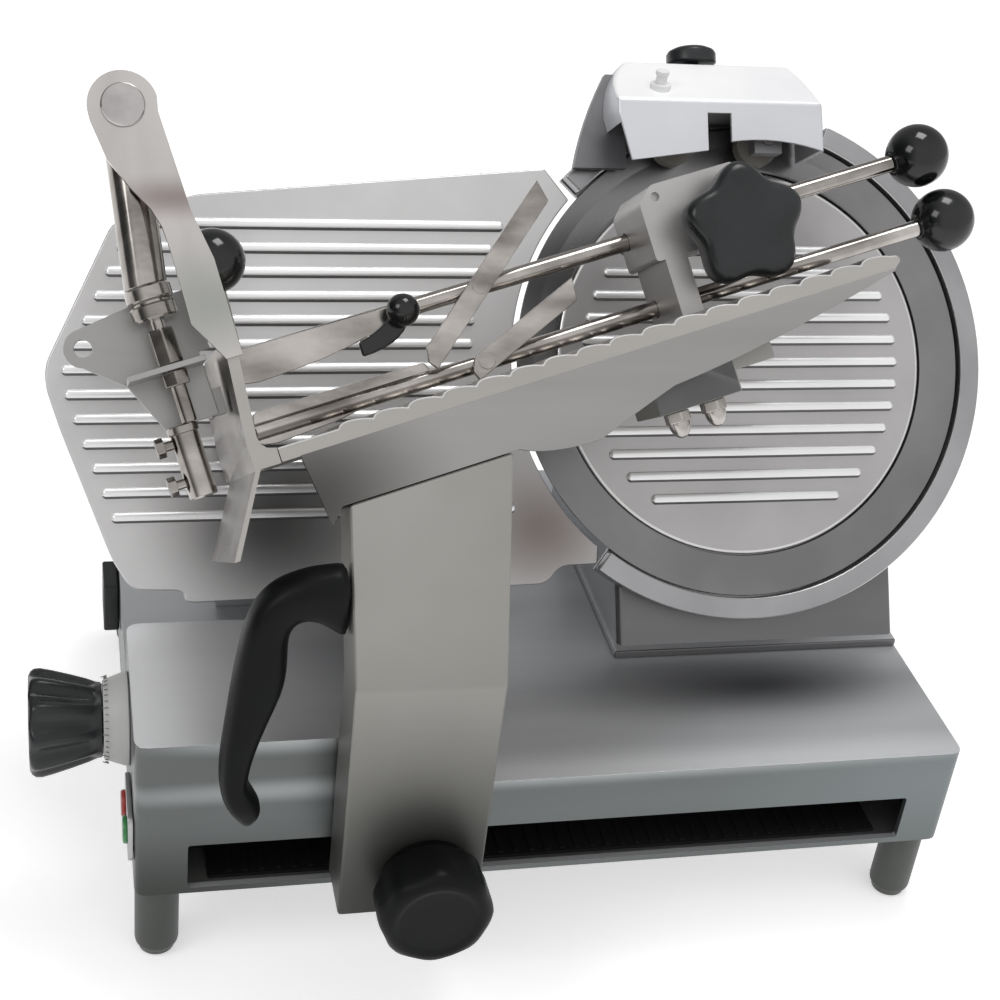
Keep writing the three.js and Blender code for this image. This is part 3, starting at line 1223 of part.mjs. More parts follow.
add(cutting, "sharpener_cover", sharpenerCover(), finish.white);
add(cutting, "sharpener_knob", sharpenerKnob(), finish.black);
add(cutting, "grinding_stone", stoneAt(stone.places[0]), finish.stone);
add(cutting, "honing_stone", stoneAt(stone.places[1]), finish.stone);

// The origin goes to the middle of the footprint
const extent = new THREE.Box3().setFromObject(machine, true);
machine.position.set(-(extent.min.x + extent.max.x) / 2, -(extent.min.y + extent.max.y) / 2, -extent.min.z);

const slicer = new THREE.Group();
slicer.add(machine);

export default slicer;
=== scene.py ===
"""Looks of a gravity-feed meat slicer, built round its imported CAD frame.

A new piece is modelled in millimetres in the frame it belongs to (the machine's, the blade's or the
tray's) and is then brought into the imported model's frame, in metres.
"""

from __future__ import annotations

import logging
import math
from contextlib import contextmanager
from dataclasses import dataclass, field
from enum import Enum
from typing import Callable, Iterator, Sequence

import bmesh  # noqa: E402
import bpy  # noqa: E402
from mathutils import Matrix, Vector  # noqa: E402

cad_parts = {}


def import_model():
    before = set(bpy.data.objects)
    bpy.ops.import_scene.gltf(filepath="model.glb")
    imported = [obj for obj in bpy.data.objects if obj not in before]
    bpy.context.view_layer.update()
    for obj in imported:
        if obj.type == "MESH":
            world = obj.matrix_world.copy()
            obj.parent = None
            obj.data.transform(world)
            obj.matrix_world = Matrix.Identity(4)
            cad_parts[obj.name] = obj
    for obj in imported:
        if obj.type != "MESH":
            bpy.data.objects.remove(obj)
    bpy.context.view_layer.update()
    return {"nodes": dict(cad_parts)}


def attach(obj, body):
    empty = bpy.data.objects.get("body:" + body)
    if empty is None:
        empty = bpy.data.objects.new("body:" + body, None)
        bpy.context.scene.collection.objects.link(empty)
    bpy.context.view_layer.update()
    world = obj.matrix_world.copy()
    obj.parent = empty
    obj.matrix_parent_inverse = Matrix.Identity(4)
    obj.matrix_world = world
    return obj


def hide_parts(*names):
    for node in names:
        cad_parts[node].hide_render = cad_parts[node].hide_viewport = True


LOG = logging.getLogger("slicer")
Flat = tuple[float, float]
Spot = tuple[float, float, float]
Thing = bpy.types.Object
Socket = bpy.types.NodeSocket

MM = 0.001
# Added to a place in the machine's frame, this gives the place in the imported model
SHIFT = Vector((-2.55, -130.909, -4.0))
# How far the blade leans back from upright, and its centre
TILT = math.radians(33.68)
BLADE_AXIS = Vector((144.7, 204.8, 292.1))
# The tray's low corner in the blade's frame, and how steeply its floor rises to the right
TRAY_CORNER = Vector((-328.9, -61.6, 0.0))
TRAY_SLOPE = math.radians(16.4)
# Clearance between pieces that touch on the real machine
GAP = 0.3
# Height of the grain on every surface, in metres
GRAIN_DEPTH = 0.0004
# A Mix node has several sockets of each name, so its colours go by number
MIX_FIRST, MIX_SECOND, MIX_RESULT = 6, 7, 2


class Frame(Enum):
    """The three frames in which the pieces are drawn.

    In the machine's frame x runs along the base, y to the back and z up. In the blade's frame x runs along
    the base, y (v in the code) up the blade's slope and z (d) out of its face, towards the viewer. The
    tray's frame is the blade's, moved to the tray's corner and turned with its floor, so that x (s) runs
    along the floor and y (t) up from it.
    """

    MACHINE = "machine"
    BLADE = "blade"
    TRAY = "tray"

    def matrix(self) -> Matrix:
        """Gives the frame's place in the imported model.

        Returns:
            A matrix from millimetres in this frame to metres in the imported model's frame.
        """
        place = Matrix.Scale(MM, 4) @ Matrix.Translation(SHIFT)
        if self is Frame.MACHINE:
            return place
        place = place @ Matrix.Translation(BLADE_AXIS) @ Matrix.Rotation(math.pi / 2 - TILT, 4, "X")
        if self is Frame.BLADE:
            return place
        return place @ Matrix.Translation(TRAY_CORNER) @ Matrix.Rotation(TRAY_SLOPE, 4, "Z")


def on_slope(v: float, d: float, x: float = 0.0) -> Spot:
    """Finds a point of the blade's plane in the machine's frame.

    Args:
        v: Distance up the slope from the blade's centre.
        d: Distance in front of the blade's face.
        x: Place along the machine's length.

    Returns:
        The point in millimetres in the machine's frame.
    """
    y = BLADE_AXIS.y + v * math.sin(TILT) - d * math.cos(TILT)
    z = BLADE_AXIS.z + v * math.cos(TILT) + d * math.sin(TILT)
    return (x, y, z)


# Finishes


def linear(code: str) -> tuple[float, float, float, float]:
    """Turns a screen colour such as "c4c3c5" into a linear colour with full alpha.

    Args:
        code: Six hexadecimal digits.

    Returns:
        Red, green, blue and alpha.
    """
    parts = [int(code[i:i + 2], 16) / 255 for i in (0, 2, 4)]
    red, green, blue = [c / 12.92 if c <= 0.04045 else ((c + 0.055) / 1.055) ** 2.4 for c in parts]
    return (red, green, blue, 1.0)


class Graph:
    """Adds nodes to a tree and links them."""

    def __init__(self, tree: bpy.types.NodeTree) -> None:
        """Takes the tree that is added to."""
        self.nodes, self.links = tree.nodes, tree.links

    def feed(self, node: bpy.types.Node, given: dict[str | int, object]) -> None:
        """Sets or links a node's inputs.

        Args:
            node: The node.
            given: For each input a value, or the socket that feeds it.
        """
        for name, value in given.items():
            if isinstance(value, Socket):
                self.links.new(value, node.inputs[name])
            else:
                node.inputs[name].default_value = value

    def add(self, kind: str, given: dict[str | int, object], **options: object) -> bpy.types.NodeOutputs:
        """Adds one shader node.

        Args:
            kind: The node's kind, such as TexNoise.
            given: For each input a value, or the socket that feeds it.
            options: The node's own settings.

        Returns:
            The node's outputs.
        """
        node = self.nodes.new(f"ShaderNode{kind}")
        for name, value in options.items():
            setattr(node, name, value)
        self.feed(node, given)
        return node.outputs

    def blend(self, share: Socket, first: Socket, second: Socket) -> Socket:
        """Adds a blend of two colours.

        Args:
            share: How much of the second colour there is.
            first: The first colour.
            second: The second colour.

        Returns:
            The socket of the blend.
        """
        given = {"Factor": share, MIX_FIRST: first, MIX_SECOND: second}
        return self.add("Mix", given, data_type="RGBA")[MIX_RESULT]


@dataclass(frozen=True)
class Effect:
    """A surface effect that several finishes share, as a node group that is built once."""

    name: str
    takes: dict[str, str]
    gives: dict[str, str]
    fill: Callable[[Graph, bpy.types.NodeOutputs], dict[str | int, object]]

    def group(self) -> bpy.types.ShaderNodeTree:
        """Builds the node group, or gives the one already built.

        Returns:
            The node group.
        """
        found = bpy.data.node_groups.get(self.name)
        if found:
            return found
        tree = bpy.data.node_groups.new(self.name, "ShaderNodeTree")
        for way, sockets in (("INPUT", self.takes), ("OUTPUT", self.gives)):
            for name, kind in sockets.items():
                tree.interface.new_socket(name=name, in_out=way, socket_type=f"NodeSocket{kind}")
        graph = Graph(tree)
        start = tree.nodes.new("NodeGroupInput")
        graph.feed(tree.nodes.new("NodeGroupOutput"), self.fill(graph, start.outputs))
        return tree


def grain_nodes(graph: Graph, given: bpy.types.NodeOutputs) -> dict[str | int, object]:
    """Adds a height that follows stretched noise.

    Args:
        graph: The group's nodes.
        given: What the group takes.

    Returns:
        What the group gives.
    """
    noise = graph.add("TexNoise", {"Vector": given["Vector"], "Scale": given["Scale"], "Detail": 3.0,
                                   "Roughness": 0.6})
    return {"Height": noise["Fac"]}


def mottle_nodes(graph: Graph, given: bpy.types.NodeOutputs) -> dict[str | int, object]:
    """Adds slow variation between two colours, with its mask.

    Args:
        graph: The group's nodes.
        given: What the group takes.

    Returns:
        What the group gives.
    """
    noise = graph.add("TexNoise", {"Vector": given["Vector"], "Scale": given["Scale"], "Detail": 4.0})
    mask = graph.add("MapRange", {"Value": noise["Fac"], "From Min": 0.35, "From Max": 0.65})["Result"]
    return {"Colour": graph.blend(mask, given["Dark"], given["Light"]), "Mask": mask}


def painted_light_nodes(graph: Graph, given: bpy.types.NodeOutputs) -> dict[str | int, object]:
    """Adds a soft patch of painted light and shade that blends a colour towards a tone round a place.

    Args:
        graph: The group's nodes.
        given: What the group takes.

    Returns:
        What the group gives.
    """
    away = graph.add("VectorMath", {0: given["Vector"], 1: given["Place"]}, operation="SUBTRACT")
    share = graph.add("VectorMath", {0: away["Vector"], 1: given["Reach"]}, operation="DIVIDE")
    length = graph.add("VectorMath", {0: share["Vector"]}, operation="LENGTH")
    mask = graph.add("MapRange", {"Value": length["Value"], "From Min": 1.0, "From Max": 0.0},
                     interpolation_type="SMOOTHSTEP")
    return {"Colour": graph.blend(mask["Result"], given["Colour"], given["Tone"])}


GRAIN = Effect("fine_grain", {"Vector": "Vector", "Scale": "Float"}, {"Height": "Float"}, grain_nodes)
MOTTLE = Effect("slow_mottle", {"Vector": "Vector", "Scale": "Float", "Light": "Color", "Dark": "Color"},
                {"Colour": "Color", "Mask": "Float"}, mottle_nodes)
LIGHT_PATCH = Effect("painted_light_patch", {"Vector": "Vector", "Place": "Vector", "Reach": "Vector", "Tone": "Color",
                              "Colour": "Color"}, {"Colour": "Color"}, painted_light_nodes)


@dataclass(frozen=True)
class PaintedLight:
    """A soft patch of painted light and shade in another tone, placed in millimetres in the machine's frame.
    """

    place: Spot
    reach: Spot
    tone: str


@dataclass(frozen=True)
class Finish:
    """One surface: its colours, its shine, its fine grain, its slow variation and its soft patches of painted
    light and shade.
    """

    name: str
    slot: str
    light: str
    dark: str
    metallic: float
    roughness: float
    spread: float = 0.08
    grain: float = 900.0
    stretch: Spot = (1.0, 1.0, 1.0)
    bump: float = 0.08
    mottle: float = 14.0
    coat: float = 0.0
    specular: float = 0.5
    painted_lights: tuple[PaintedLight, ...] = ()

    def material(self) -> bpy.types.Material:
        """Builds the material, or gives the one already built.

        Returns:
            The material with this finish.
        """
        found = bpy.data.materials.get(self.name)
        if found:
            return found
        made = bpy.data.materials.new(self.name)
        made.use_nodes = True
        graph = Graph(made.node_tree)
        place = graph.add("TexCoord", {})["Object"]
        turn = graph.add("Mapping", {"Vector": place, "Scale": self.stretch})["Vector"]
        grain = graph.add("Group", {"Vector": turn, "Scale": self.grain}, node_tree=GRAIN.group())
        bump = graph.add("Bump", {"Height": grain["Height"], "Strength": self.bump, "Distance": GRAIN_DEPTH})
        mottle = graph.add("Group", {"Vector": turn, "Scale": self.mottle, "Light": linear(self.light),
                                     "Dark": linear(self.dark)}, node_tree=MOTTLE.group())
        colour = mottle["Colour"]
        # Each patch paints light and shade into the base colour.
        for painted_light in self.painted_lights:
            given = {"Vector": place, "Colour": colour, "Tone": linear(painted_light.tone),
                     "Place": (Vector(painted_light.place) + SHIFT) * MM, "Reach": Vector(painted_light.reach) * MM}
            colour = graph.add("Group", given, node_tree=LIGHT_PATCH.group())["Colour"]
        shine = graph.add("MapRange", {"Value": mottle["Mask"], "To Min": self.roughness,
                                       "To Max": min(1.0, self.roughness + self.spread)})
        graph.feed(made.node_tree.nodes["Principled BSDF"], {
            "Base Color": colour, "Roughness": shine["Result"], "Normal": bump["Normal"],
            "Metallic": self.metallic, "Specular IOR Level": self.specular, "Coat Weight": self.coat,
            "Coat Roughness": 0.12})
        return made

    def onto(self, *things: Thing) -> None:
        """Gives this finish to every one of the pieces."""
        for thing in things:
            thing.data.materials.append(self.material())


def cast(name: str, light: str, dark: str, metallic: float, roughness: float, *painted_lights: PaintedLight) -> Finish:
    """Gives the finish of a casting with fine lines along the machine."""
    return Finish(name, "cast_aluminium", light, dark, metallic, roughness, grain=420,
                  stretch=(0.12, 1.0, 1.0), bump=0.09, mottle=16, painted_lights=painted_lights)


# The base's patches are painted reflections on its tops: a dark patch on the low top, a painted highlight
# along the front edge, a bright painted highlight on the raised top's left and a darker one to its right.
SATIN = cast("satin_casting", "ced0d2", "bcbec1", 0.6, 0.3,
             PaintedLight((140, 76, 131), (165, 50, 26), "434446"), PaintedLight((80, 5, 131), (360, 26, 18), "eceef0"),
             PaintedLight((-255, 40, 169), (120, 170, 80), "fdfeff"), PaintedLight((-95, 70, 169), (80, 80, 50), "85878a"))
# Painted shade: a darker copy of the casting for the base's side faces, darkest at the bottom left and
# lighter to the right, with painted highlights along the top edges.
SHADED_FRONT = cast("brushed_front_painted_shade", "6c7070", "606362", 0.8, 0.34,
             PaintedLight((-250, 0, 55), (190, 60, 75), "3e403e"), PaintedLight((250, 0, 110), (200, 60, 70), "798081"),
             PaintedLight((0, 0, 134), (420, 30, 12), "a6aaab"), PaintedLight((-160, 0, 171), (110, 30, 14), "a6aaab"))
# Painted shade: a darker copy of the casting for the pedestal's front faces.
PEDESTAL_SHADE = cast("pedestal_front_painted_shade", "777677", "686768", 0.8, 0.34)
# The apron's patch is painted shade on its left end, near the skirt.
APRON = cast("satin_apron", "a6a5a4", "949391", 0.85, 0.34, PaintedLight((-160, 10, 318), (90, 90, 70), "4f4e4c"))
BLOCK = Finish("clamp_casting", "cast_aluminium", "c0bebd", "b0aead", 0.8, 0.33, bump=0.09, mottle=16)
# The gauge plate's patches are painted shade under the tray and the arm, the second with a pinkish painted
# reflection.
BLASTED = Finish("blasted_aluminium", "cast_aluminium", "d2d1d1", "c7c6c6", 0.85, 0.36, bump=0.1,
                 painted_lights=(PaintedLight((-165, 150, 212), (85, 70, 70), "5b5a5a"),
                         PaintedLight((8, 148, 205), (85, 70, 70), "837b78")))
DISC = Finish("blasted_disc", "cast_aluminium", "b8b6b6", "aba9a9", 0.85, 0.36, bump=0.1)
# Painted highlight on the ribs' upper faces; the next finish is painted shade on their downward faces.
RIB_HIGHLIGHT = Finish("rib_painted_highlight", "cast_aluminium", "f6f6f6", "ececed", 0.7, 0.3, bump=0.04)
RIB_SHADE = Finish("rib_painted_shade", "cast_aluminium", "747374", "666566", 0.7, 0.45, bump=0.04)
# Painted highlight for bevelled edges that face up and out.
EDGE_HIGHLIGHT = Finish("painted_edge_highlight", "cast_aluminium", "dededd", "d0d0cf", 0.8, 0.25, bump=0.03)
RING = Finish("turned_ring", "cast_aluminium", "aaa9ab", "969597", 0.9, 0.28, bump=0.05)
# Painted shade for the faces inside the base's hollow.
HOLLOW_SHADE = Finish("hollow_painted_shade", "cast_aluminium", "1d1e1f", "141516", 0.0, 0.7, specular=0.2)
# The wide gap between its two colours paints dark reflection streaks along the steel.
POLISHED = Finish("mirror_steel", "polished_steel", "c3beb9", "7d7873", 1.0, 0.1, spread=0.14, grain=260,
                  stretch=(0.3, 1.0, 0.3), bump=0.05, mottle=60)
# The strap's two patches are painted reflections on the flange.
STRAP = Finish("brushed_strap", "polished_steel", "cfcbc9", "c0bcba", 1.0, 0.2, spread=0.1, grain=420,
               stretch=(1.0, 0.4, 0.15), bump=0.05, mottle=30,
               painted_lights=(PaintedLight((-224, 94, 445), (50, 12, 16), "8f8280"),
                       PaintedLight((-208, 66, 400), (60, 34, 44), "a2a49f")))
CAP = Finish("pivot_cap", "polished_steel", "c6c3c2", "adaaa9", 1.0, 0.18, spread=0.1, bump=0.05, mottle=45)
SHEEN = Finish("satin_sheet", "polished_steel", "b0aca8", "9e9a96", 1.0, 0.26, spread=0.1, grain=420,
               stretch=(0.15, 1.0, 1.0), bump=0.06, mottle=20)
# Painted light: a lighter copy of the sheet for the tray's faces turned to the front.
SHEET_EDGE_LIGHT = Finish("sheet_edge_painted_light", "polished_steel", "b8b5b1", "a9a6a2", 0.9, 0.3, stretch=(0.15, 1.0, 1.0),
               bump=0.04)
GROUND = Finish("ground_blade", "blade_steel", "8b8a8b", "777677", 0.95, 0.24, grain=1200, bump=0.05,
                mottle=9)
# The arm's patch is painted shade over its lower part, round the lock knob.
ARM = Finish("matte_arm", "grey_casting", "a09f9b", "92918c", 0.6, 0.4, bump=0.1, mottle=6,
             painted_lights=(PaintedLight((-95, -45, 84), (200, 140, 185), "232523"),))
# Painted shade: a darker copy of the arm's casting for the clamp base's front faces under the tray.
CLAMP_BASE_SHADE = Finish("clamp_base_painted_shade", "grey_casting", "6d6d6e", "5e5e5f", 0.7, 0.38, bump=0.12)
HEAD = Finish("sharpener_head", "grey_casting", "8e8e90", "767679", 0.7, 0.38, bump=0.12)
PAINT = Finish("motor_paint", "grey_metal", "a0a09c", "94948f", 0.0, 0.5, bump=0.1)
SHEET = Finish("brushed_sheet", "sheet_steel", "b4b4b4", "a6a6a6", 0.9, 0.35, stretch=(0.1, 1.0, 1.0))
BLACK = Finish("moulded_black", "black_plastic", "242627", "191b1c", 0.0, 0.24, spread=0.12, grain=600,
               bump=0.1, mottle=30, specular=0.4)
GLOSS = Finish("glossy_black", "black_plastic", "151617", "0d0e0f", 0.0, 0.1, spread=0.08, grain=600,
               bump=0.03, mottle=30, specular=0.5)
GRIP = Finish("grip_black", "black_plastic", "0f1011", "0a0a0b", 0.0, 0.34, spread=0.14, grain=700,
              bump=0.16, mottle=40, specular=0.14)
RUBBER = Finish("belt_rubber", "black_rubber", "141414", "0c0c0c", 0.0, 0.7, bump=0.2, specular=0.25)
FOOT = Finish("foot_grey", "foot_rubber", "4c4f4c", "3c3f3c", 0.0, 0.4, bump=0.08)
DIAL = Finish("dial_off_white", "dial_white", "c6c6c4", "b8b8b6", 0.0, 0.45, bump=0.04)
INK = Finish("dial_ink", "dial_white", "7c7a76", "6b6964", 0.0, 0.5)
WHITE = Finish("white_cover", "cover_white", "dedfe3", "d1d2d6", 0.35, 0.32, bump=0.05, mottle=9)
# Painted light: a brighter copy of the cover's white for its upper faces.
COVER_TOP_LIGHT = Finish("cover_top_painted_light", "cover_white", "fdfdfd", "f4f4f6", 0.1, 0.32, bump=0.05, mottle=9)
BRONZE = Finish("bearing_bronze", "bronze", "a8844e", "8f6c3b", 1.0, 0.35)
STONE = Finish("abrasive_stone", "abrasive", "8f8c86", "7a7771", 0.0, 0.95, grain=1500, bump=0.8)
GREEN = Finish("green_button", "button_green", "2f8a49", "287a40", 0.0, 0.3, coat=0.3)
RED = Finish("red_button", "button_red", "b23a2f", "a03026", 0.0, 0.3, coat=0.3)


# Modelling steps


class Bench:
    """Steps of Blender's own tools that shape the pieces, all in millimetres."""

    @staticmethod
    def clear() -> None:
        """Leaves edit mode and deselects everything."""
        if bpy.context.object and bpy.context.object.mode != "OBJECT":
            bpy.ops.object.mode_set(mode="OBJECT")
        bpy.ops.object.select_all(action="DESELECT")

    @staticmethod
    def pick(thing: Thing) -> None:
        """Makes one object the only selected and active one.

        Args:
            thing: The object.
        """
        Bench.clear()
        thing.select_set(True)
        bpy.context.view_layer.objects.active = thing

    @staticmethod
    @contextmanager
    def editing(thing: Thing) -> Iterator[None]:
        """Opens a piece in edit mode with all of it selected, and closes it afterwards.

        Args:
            thing: The object.

        Yields:
            Nothing.
        """
        Bench.pick(thing)
        bpy.ops.object.mode_set(mode="EDIT")
        bpy.ops.mesh.select_all(action="SELECT")
        yield
        bpy.ops.object.mode_set(mode="OBJECT")

    @staticmethod
    def apply(thing: Thing, kind: str, **options: object) -> Thing:
        """Adds one modifier and applies it.

        Args:
            thing: The object.
            kind: The modifier's kind, such as BEVEL.
            options: Its settings.

        Returns:
            The same object.
        """
        Bench.pick(thing)
        step = thing.modifiers.new(kind.lower(), kind)
        for name, value in options.items():
            setattr(step, name, value)
        bpy.ops.object.modifier_apply(modifier=step.name)
        return thing

    @staticmethod
    def trace(name: str, corners: Sequence[Spot], filled: bool = True) -> Thing:
        """Draws an outline from corner to corner, by extruding one vertex.

        Args:
            name: The object's name.
            corners: The outline's corners in order.
            filled: Whether the outline is closed with a face.

        Returns:
            The new object.
        """
        Bench.clear()
        bpy.ops.mesh.primitive_plane_add(size=1, location=corners[0])
        thing = bpy.context.object
        thing.name = name
        bpy.ops.object.transform_apply(location=True, rotation=False, scale=False)
        with Bench.editing(thing):
            bpy.ops.mesh.merge(type="CENTER")
            for before, after in zip(corners, corners[1:]):
                step = Vector(after) - Vector(before)
                bpy.ops.mesh.extrude_vertices_move(TRANSFORM_OT_translate={"value": step})
            bpy.ops.mesh.select_all(action="SELECT")
            if filled:
                bpy.ops.mesh.edge_face_add()
        return thing

    @staticmethod
    def outward(thing: Thing, merge: float = 0.001) -> None:
        """Merges doubles and turns all faces outwards.

        Args:
            thing: The object.
            merge: Distance within which vertices are merged.
        """
        with Bench.editing(thing):
            bpy.ops.mesh.remove_doubles(threshold=merge)
            bpy.ops.mesh.normals_make_consistent(inside=False)

    @staticmethod
    def prism(name: str, corners: Sequence[Spot], depth: Spot) -> Thing:
        """Extrudes a traced outline into a solid.

        Args:
            name: The object's name.
            corners: The outline's corners in order.
            depth: The way and distance of the extrusion.

        Returns:
            The new object.
        """
        thing = Bench.trace(name, corners)
        with Bench.editing(thing):
            bpy.ops.mesh.extrude_region_move(TRANSFORM_OT_translate={"value": depth})
        Bench.outward(thing)
        return thing

    @staticmethod
    def slab(name: str, outline: Sequence[Flat], low: float, high: float) -> Thing:
        """Extrudes an outline in x and y from one height to another.

        Args:
            name: The object's name.
            outline: The corners in x and y.
            low: Lower height.
            high: Upper height.

        Returns:
            The new object.
        """
        return Bench.prism(name, [(x, y, low) for x, y in outline], (0.0, 0.0, high - low))

    @staticmethod
    def block(name: str, low: Spot, high: Spot) -> Thing:
        """Makes a rectangular block between two corners.

        Args:
            name: The object's name.
            low: The lowest corner.
            high: The highest corner.

        Returns:
            The new object.
        """
        outline = [(low[0], low[1]), (high[0], low[1]), (high[0], high[1]), (low[0], high[1])]
        return Bench.slab(name, outline, low[2], high[2])

    @staticmethod
    def turned(name: str, profile: Sequence[Flat], place: Matrix | None = None, steps: int = 96) -> Thing:
        """Spins a profile of radius and height about the z axis.

        Args:
            name: The object's name.
            profile: Pairs of radius and height, from one end of the outside to the other.
            place: Where the turned piece goes, or None to leave it at the origin.
            steps: Steps of the full turn.

        Returns:
            The new object.
        """
        thing = Bench.trace(name, [(radius, 0.0, height) for radius, height in profile], filled=False)
        with Bench.editing(thing):
            bpy.ops.mesh.spin(steps=steps, angle=2 * math.pi, center=(0, 0, 0), axis=(0, 0, 1))
        Bench.outward(thing, 0.002)
        if place is not None:
            thing.data.transform(place)
        return thing

    @staticmethod
    def rod(name: str, start: Spot, end: Spot, radius: float, sides: int = 48, edge: float = 0.0) -> Thing:
        """Adds a cylinder between two points and softens its rims.

        Args:
            name: The object's name.
            start: Centre of one end.
            end: Centre of the other end.
            radius: The radius.
            sides: Number of sides, such as 6 for a hexagon.
            edge: Width of the bevel round each end.

        Returns:
            The new object.
        """
        Bench.clear()
        way = Vector(end) - Vector(start)
        turn = Vector((0, 0, 1)).rotation_difference(way).to_euler()
        bpy.ops.mesh.primitive_cylinder_add(vertices=sides, radius=radius, depth=way.length,
                                            location=(Vector(start) + Vector(end)) / 2, rotation=turn)
        thing = bpy.context.object
        thing.name = name
        bpy.ops.object.transform_apply(location=True, rotation=True, scale=True)
        if edge > 0:
            Bench.bevel(thing, edge, 2)
        return thing

    @staticmethod
    def ball(name: str, centre: Spot, radius: float, stretch: Spot = (1.0, 1.0, 1.0)) -> Thing:
        """Adds a sphere, stretched if asked.

        Args:
            name: The object's name.
            centre: The centre.
            radius: The radius.
            stretch: Scale along each axis.

        Returns:
            The new object.
        """
        Bench.clear()
        bpy.ops.mesh.primitive_uv_sphere_add(segments=48, ring_count=24, radius=radius, location=centre,
                                             scale=stretch)
        thing = bpy.context.object
        thing.name = name
        bpy.ops.object.transform_apply(location=True, rotation=True, scale=True)
        return thing

    @staticmethod
    def loft(name: str, rings: Sequence[Sequence[Spot]]) -> Thing:
        """Extrudes a face from ring to ring, moving each new ring's vertices into place.

        Args:
            name: The object's name.
            rings: Closed rings of points, all with the same count.

        Returns:
            The new object.
        """
        thing = Bench.trace(name, rings[0])
        with Bench.editing(thing):
            for before, after in zip(rings, rings[1:]):
                bpy.ops.mesh.extrude_region_move(TRANSFORM_OT_translate={"value": (0, 0, 0)})
                mesh = bmesh.from_edit_mesh(thing.data)
                olds = [Vector(point) for point in before]
                for vertex in [v for v in mesh.verts if v.select]:
                    index = min(range(len(olds)), key=lambda i: (olds[i] - vertex.co).length_squared)
                    vertex.co = Vector(after[index])
                bmesh.update_edit_mesh(thing.data)
            bpy.ops.mesh.select_all(action="SELECT")
            bpy.ops.mesh.normals_make_consistent(inside=False)
        return thing

    @staticmethod
    def bevel(thing: Thing, width: float, segments: int = 3, angle: float = 40.0) -> Thing:
        """Rounds the sharp edges with an applied Bevel modifier.

        Args:
            thing: The object.
            width: Width of the rounding.
            segments: Steps of the rounding.
            angle: Edges sharper than this, in degrees, are rounded.

        Returns:
            The same object.
        """
        return Bench.apply(thing, "BEVEL", width=width, segments=segments, limit_method="ANGLE",
                           angle_limit=math.radians(angle), use_clamp_overlap=True)

    @staticmethod
    def combine(kind: str, thing: Thing, tools: Sequence[Thing]) -> Thing:
        """Applies one Boolean modifier for each tool and removes the tools.

        Args:
            kind: DIFFERENCE, UNION or INTERSECT.
            thing: The object that is changed.
            tools: The objects it is combined with.

        Returns:
            The changed object.
        """
        for tool in tools:
            Bench.apply(thing, "BOOLEAN", operation=kind, solver="EXACT", object=tool)
            bpy.data.objects.remove(tool, do_unlink=True)
        return thing

    @staticmethod
    def cut(thing: Thing, *tools: Thing) -> Thing:
        """Cuts the tools out of a piece and returns it."""
        return Bench.combine("DIFFERENCE", thing, tools)

    @staticmethod
    def fuse(thing: Thing, *tools: Thing) -> Thing:
        """Unites the tools with a piece and returns it."""
        return Bench.combine("UNION", thing, tools)

    @staticmethod
    def join(name: str, things: Sequence[Thing]) -> Thing:
        """Joins several objects into one.

        Args:
            name: The joined object's name.
            things: The objects.

        Returns:
            The joined object.
        """
        Bench.pick(things[0])
        for thing in things:
            thing.select_set(True)
        bpy.ops.object.join()
        things[0].name = name
        return things[0]

    @staticmethod
    def copy(thing: Thing, name: str, step: Spot) -> Thing:
        """Copies a piece, with a mesh of its own, and moves the copy.

        Args:
            thing: The object to copy.
            name: The copy's name.
            step: The way and distance of the move.

        Returns:
            The copy.
        """
        Bench.pick(thing)
        bpy.ops.object.duplicate(linked=False)
        made = bpy.context.object
        made.name = name
        made.data.transform(Matrix.Translation(step))
        return made

    @staticmethod
    def smooth(thing: Thing, angle: float = 32.0) -> None:
        """Shades a piece smooth across edges flatter than an angle.

        Args:
            thing: The object.
            angle: The limit in degrees.
        """
        Bench.pick(thing)
        bpy.ops.object.shade_smooth_by_angle(angle=math.radians(angle))
        Bench.apply(thing, "WEIGHTED_NORMAL", keep_sharp=True)


def paint(thing: Thing, main: Finish, other: Finish, chosen: Callable[[Vector, Vector], bool]) -> None:
    """Gives some faces of a piece another finish.

    Args:
        thing: The object, in millimetres in its own frame.
        main: The finish of the remaining faces, if the piece has none yet.
        other: The finish of the chosen faces.
        chosen: Says from a face's centre and normal whether it is chosen.
    """
    if not thing.data.materials:
        main.onto(thing)
    other.onto(thing)
    for face in thing.data.polygons:
        if chosen(face.center, face.normal):
            face.material_index = len(thing.data.materials) - 1


@dataclass(frozen=True)
class Seat:
    """Where finished pieces go: the frame they were drawn in and the body they ride on."""

    frame: Frame
    body: str

    def dress(self, thing: Thing, finish: Finish, *nodes: str, angle: float = 32.0) -> Thing:
        """Gives a piece its finish, its place and its CAD nodes.

        Args:
            thing: The object, in millimetres in its own frame.
            finish: The finish of its main surface.
            nodes: The CAD nodes that it stands for.
            angle: Limit of smooth shading in degrees.

        Returns:
            The finished object.
        """
        Bench.smooth(thing, angle)
        thing.data.transform(self.frame.matrix())
        if not thing.data.materials:
            finish.onto(thing)
        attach(thing, self.body)
        if nodes:
            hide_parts(*nodes)
        LOG.info("%s rides on %s, %d faces", thing.name, self.body, len(thing.data.polygons))
        return thing


# Outlines and places


def laid(place: Spot | Vector, degrees: float, axis: str) -> Matrix:
    """Gives the matrix that turns a piece about an axis and then moves it to its place."""
    return Matrix.Translation(place) @ Matrix.Rotation(math.radians(degrees), 4, axis)


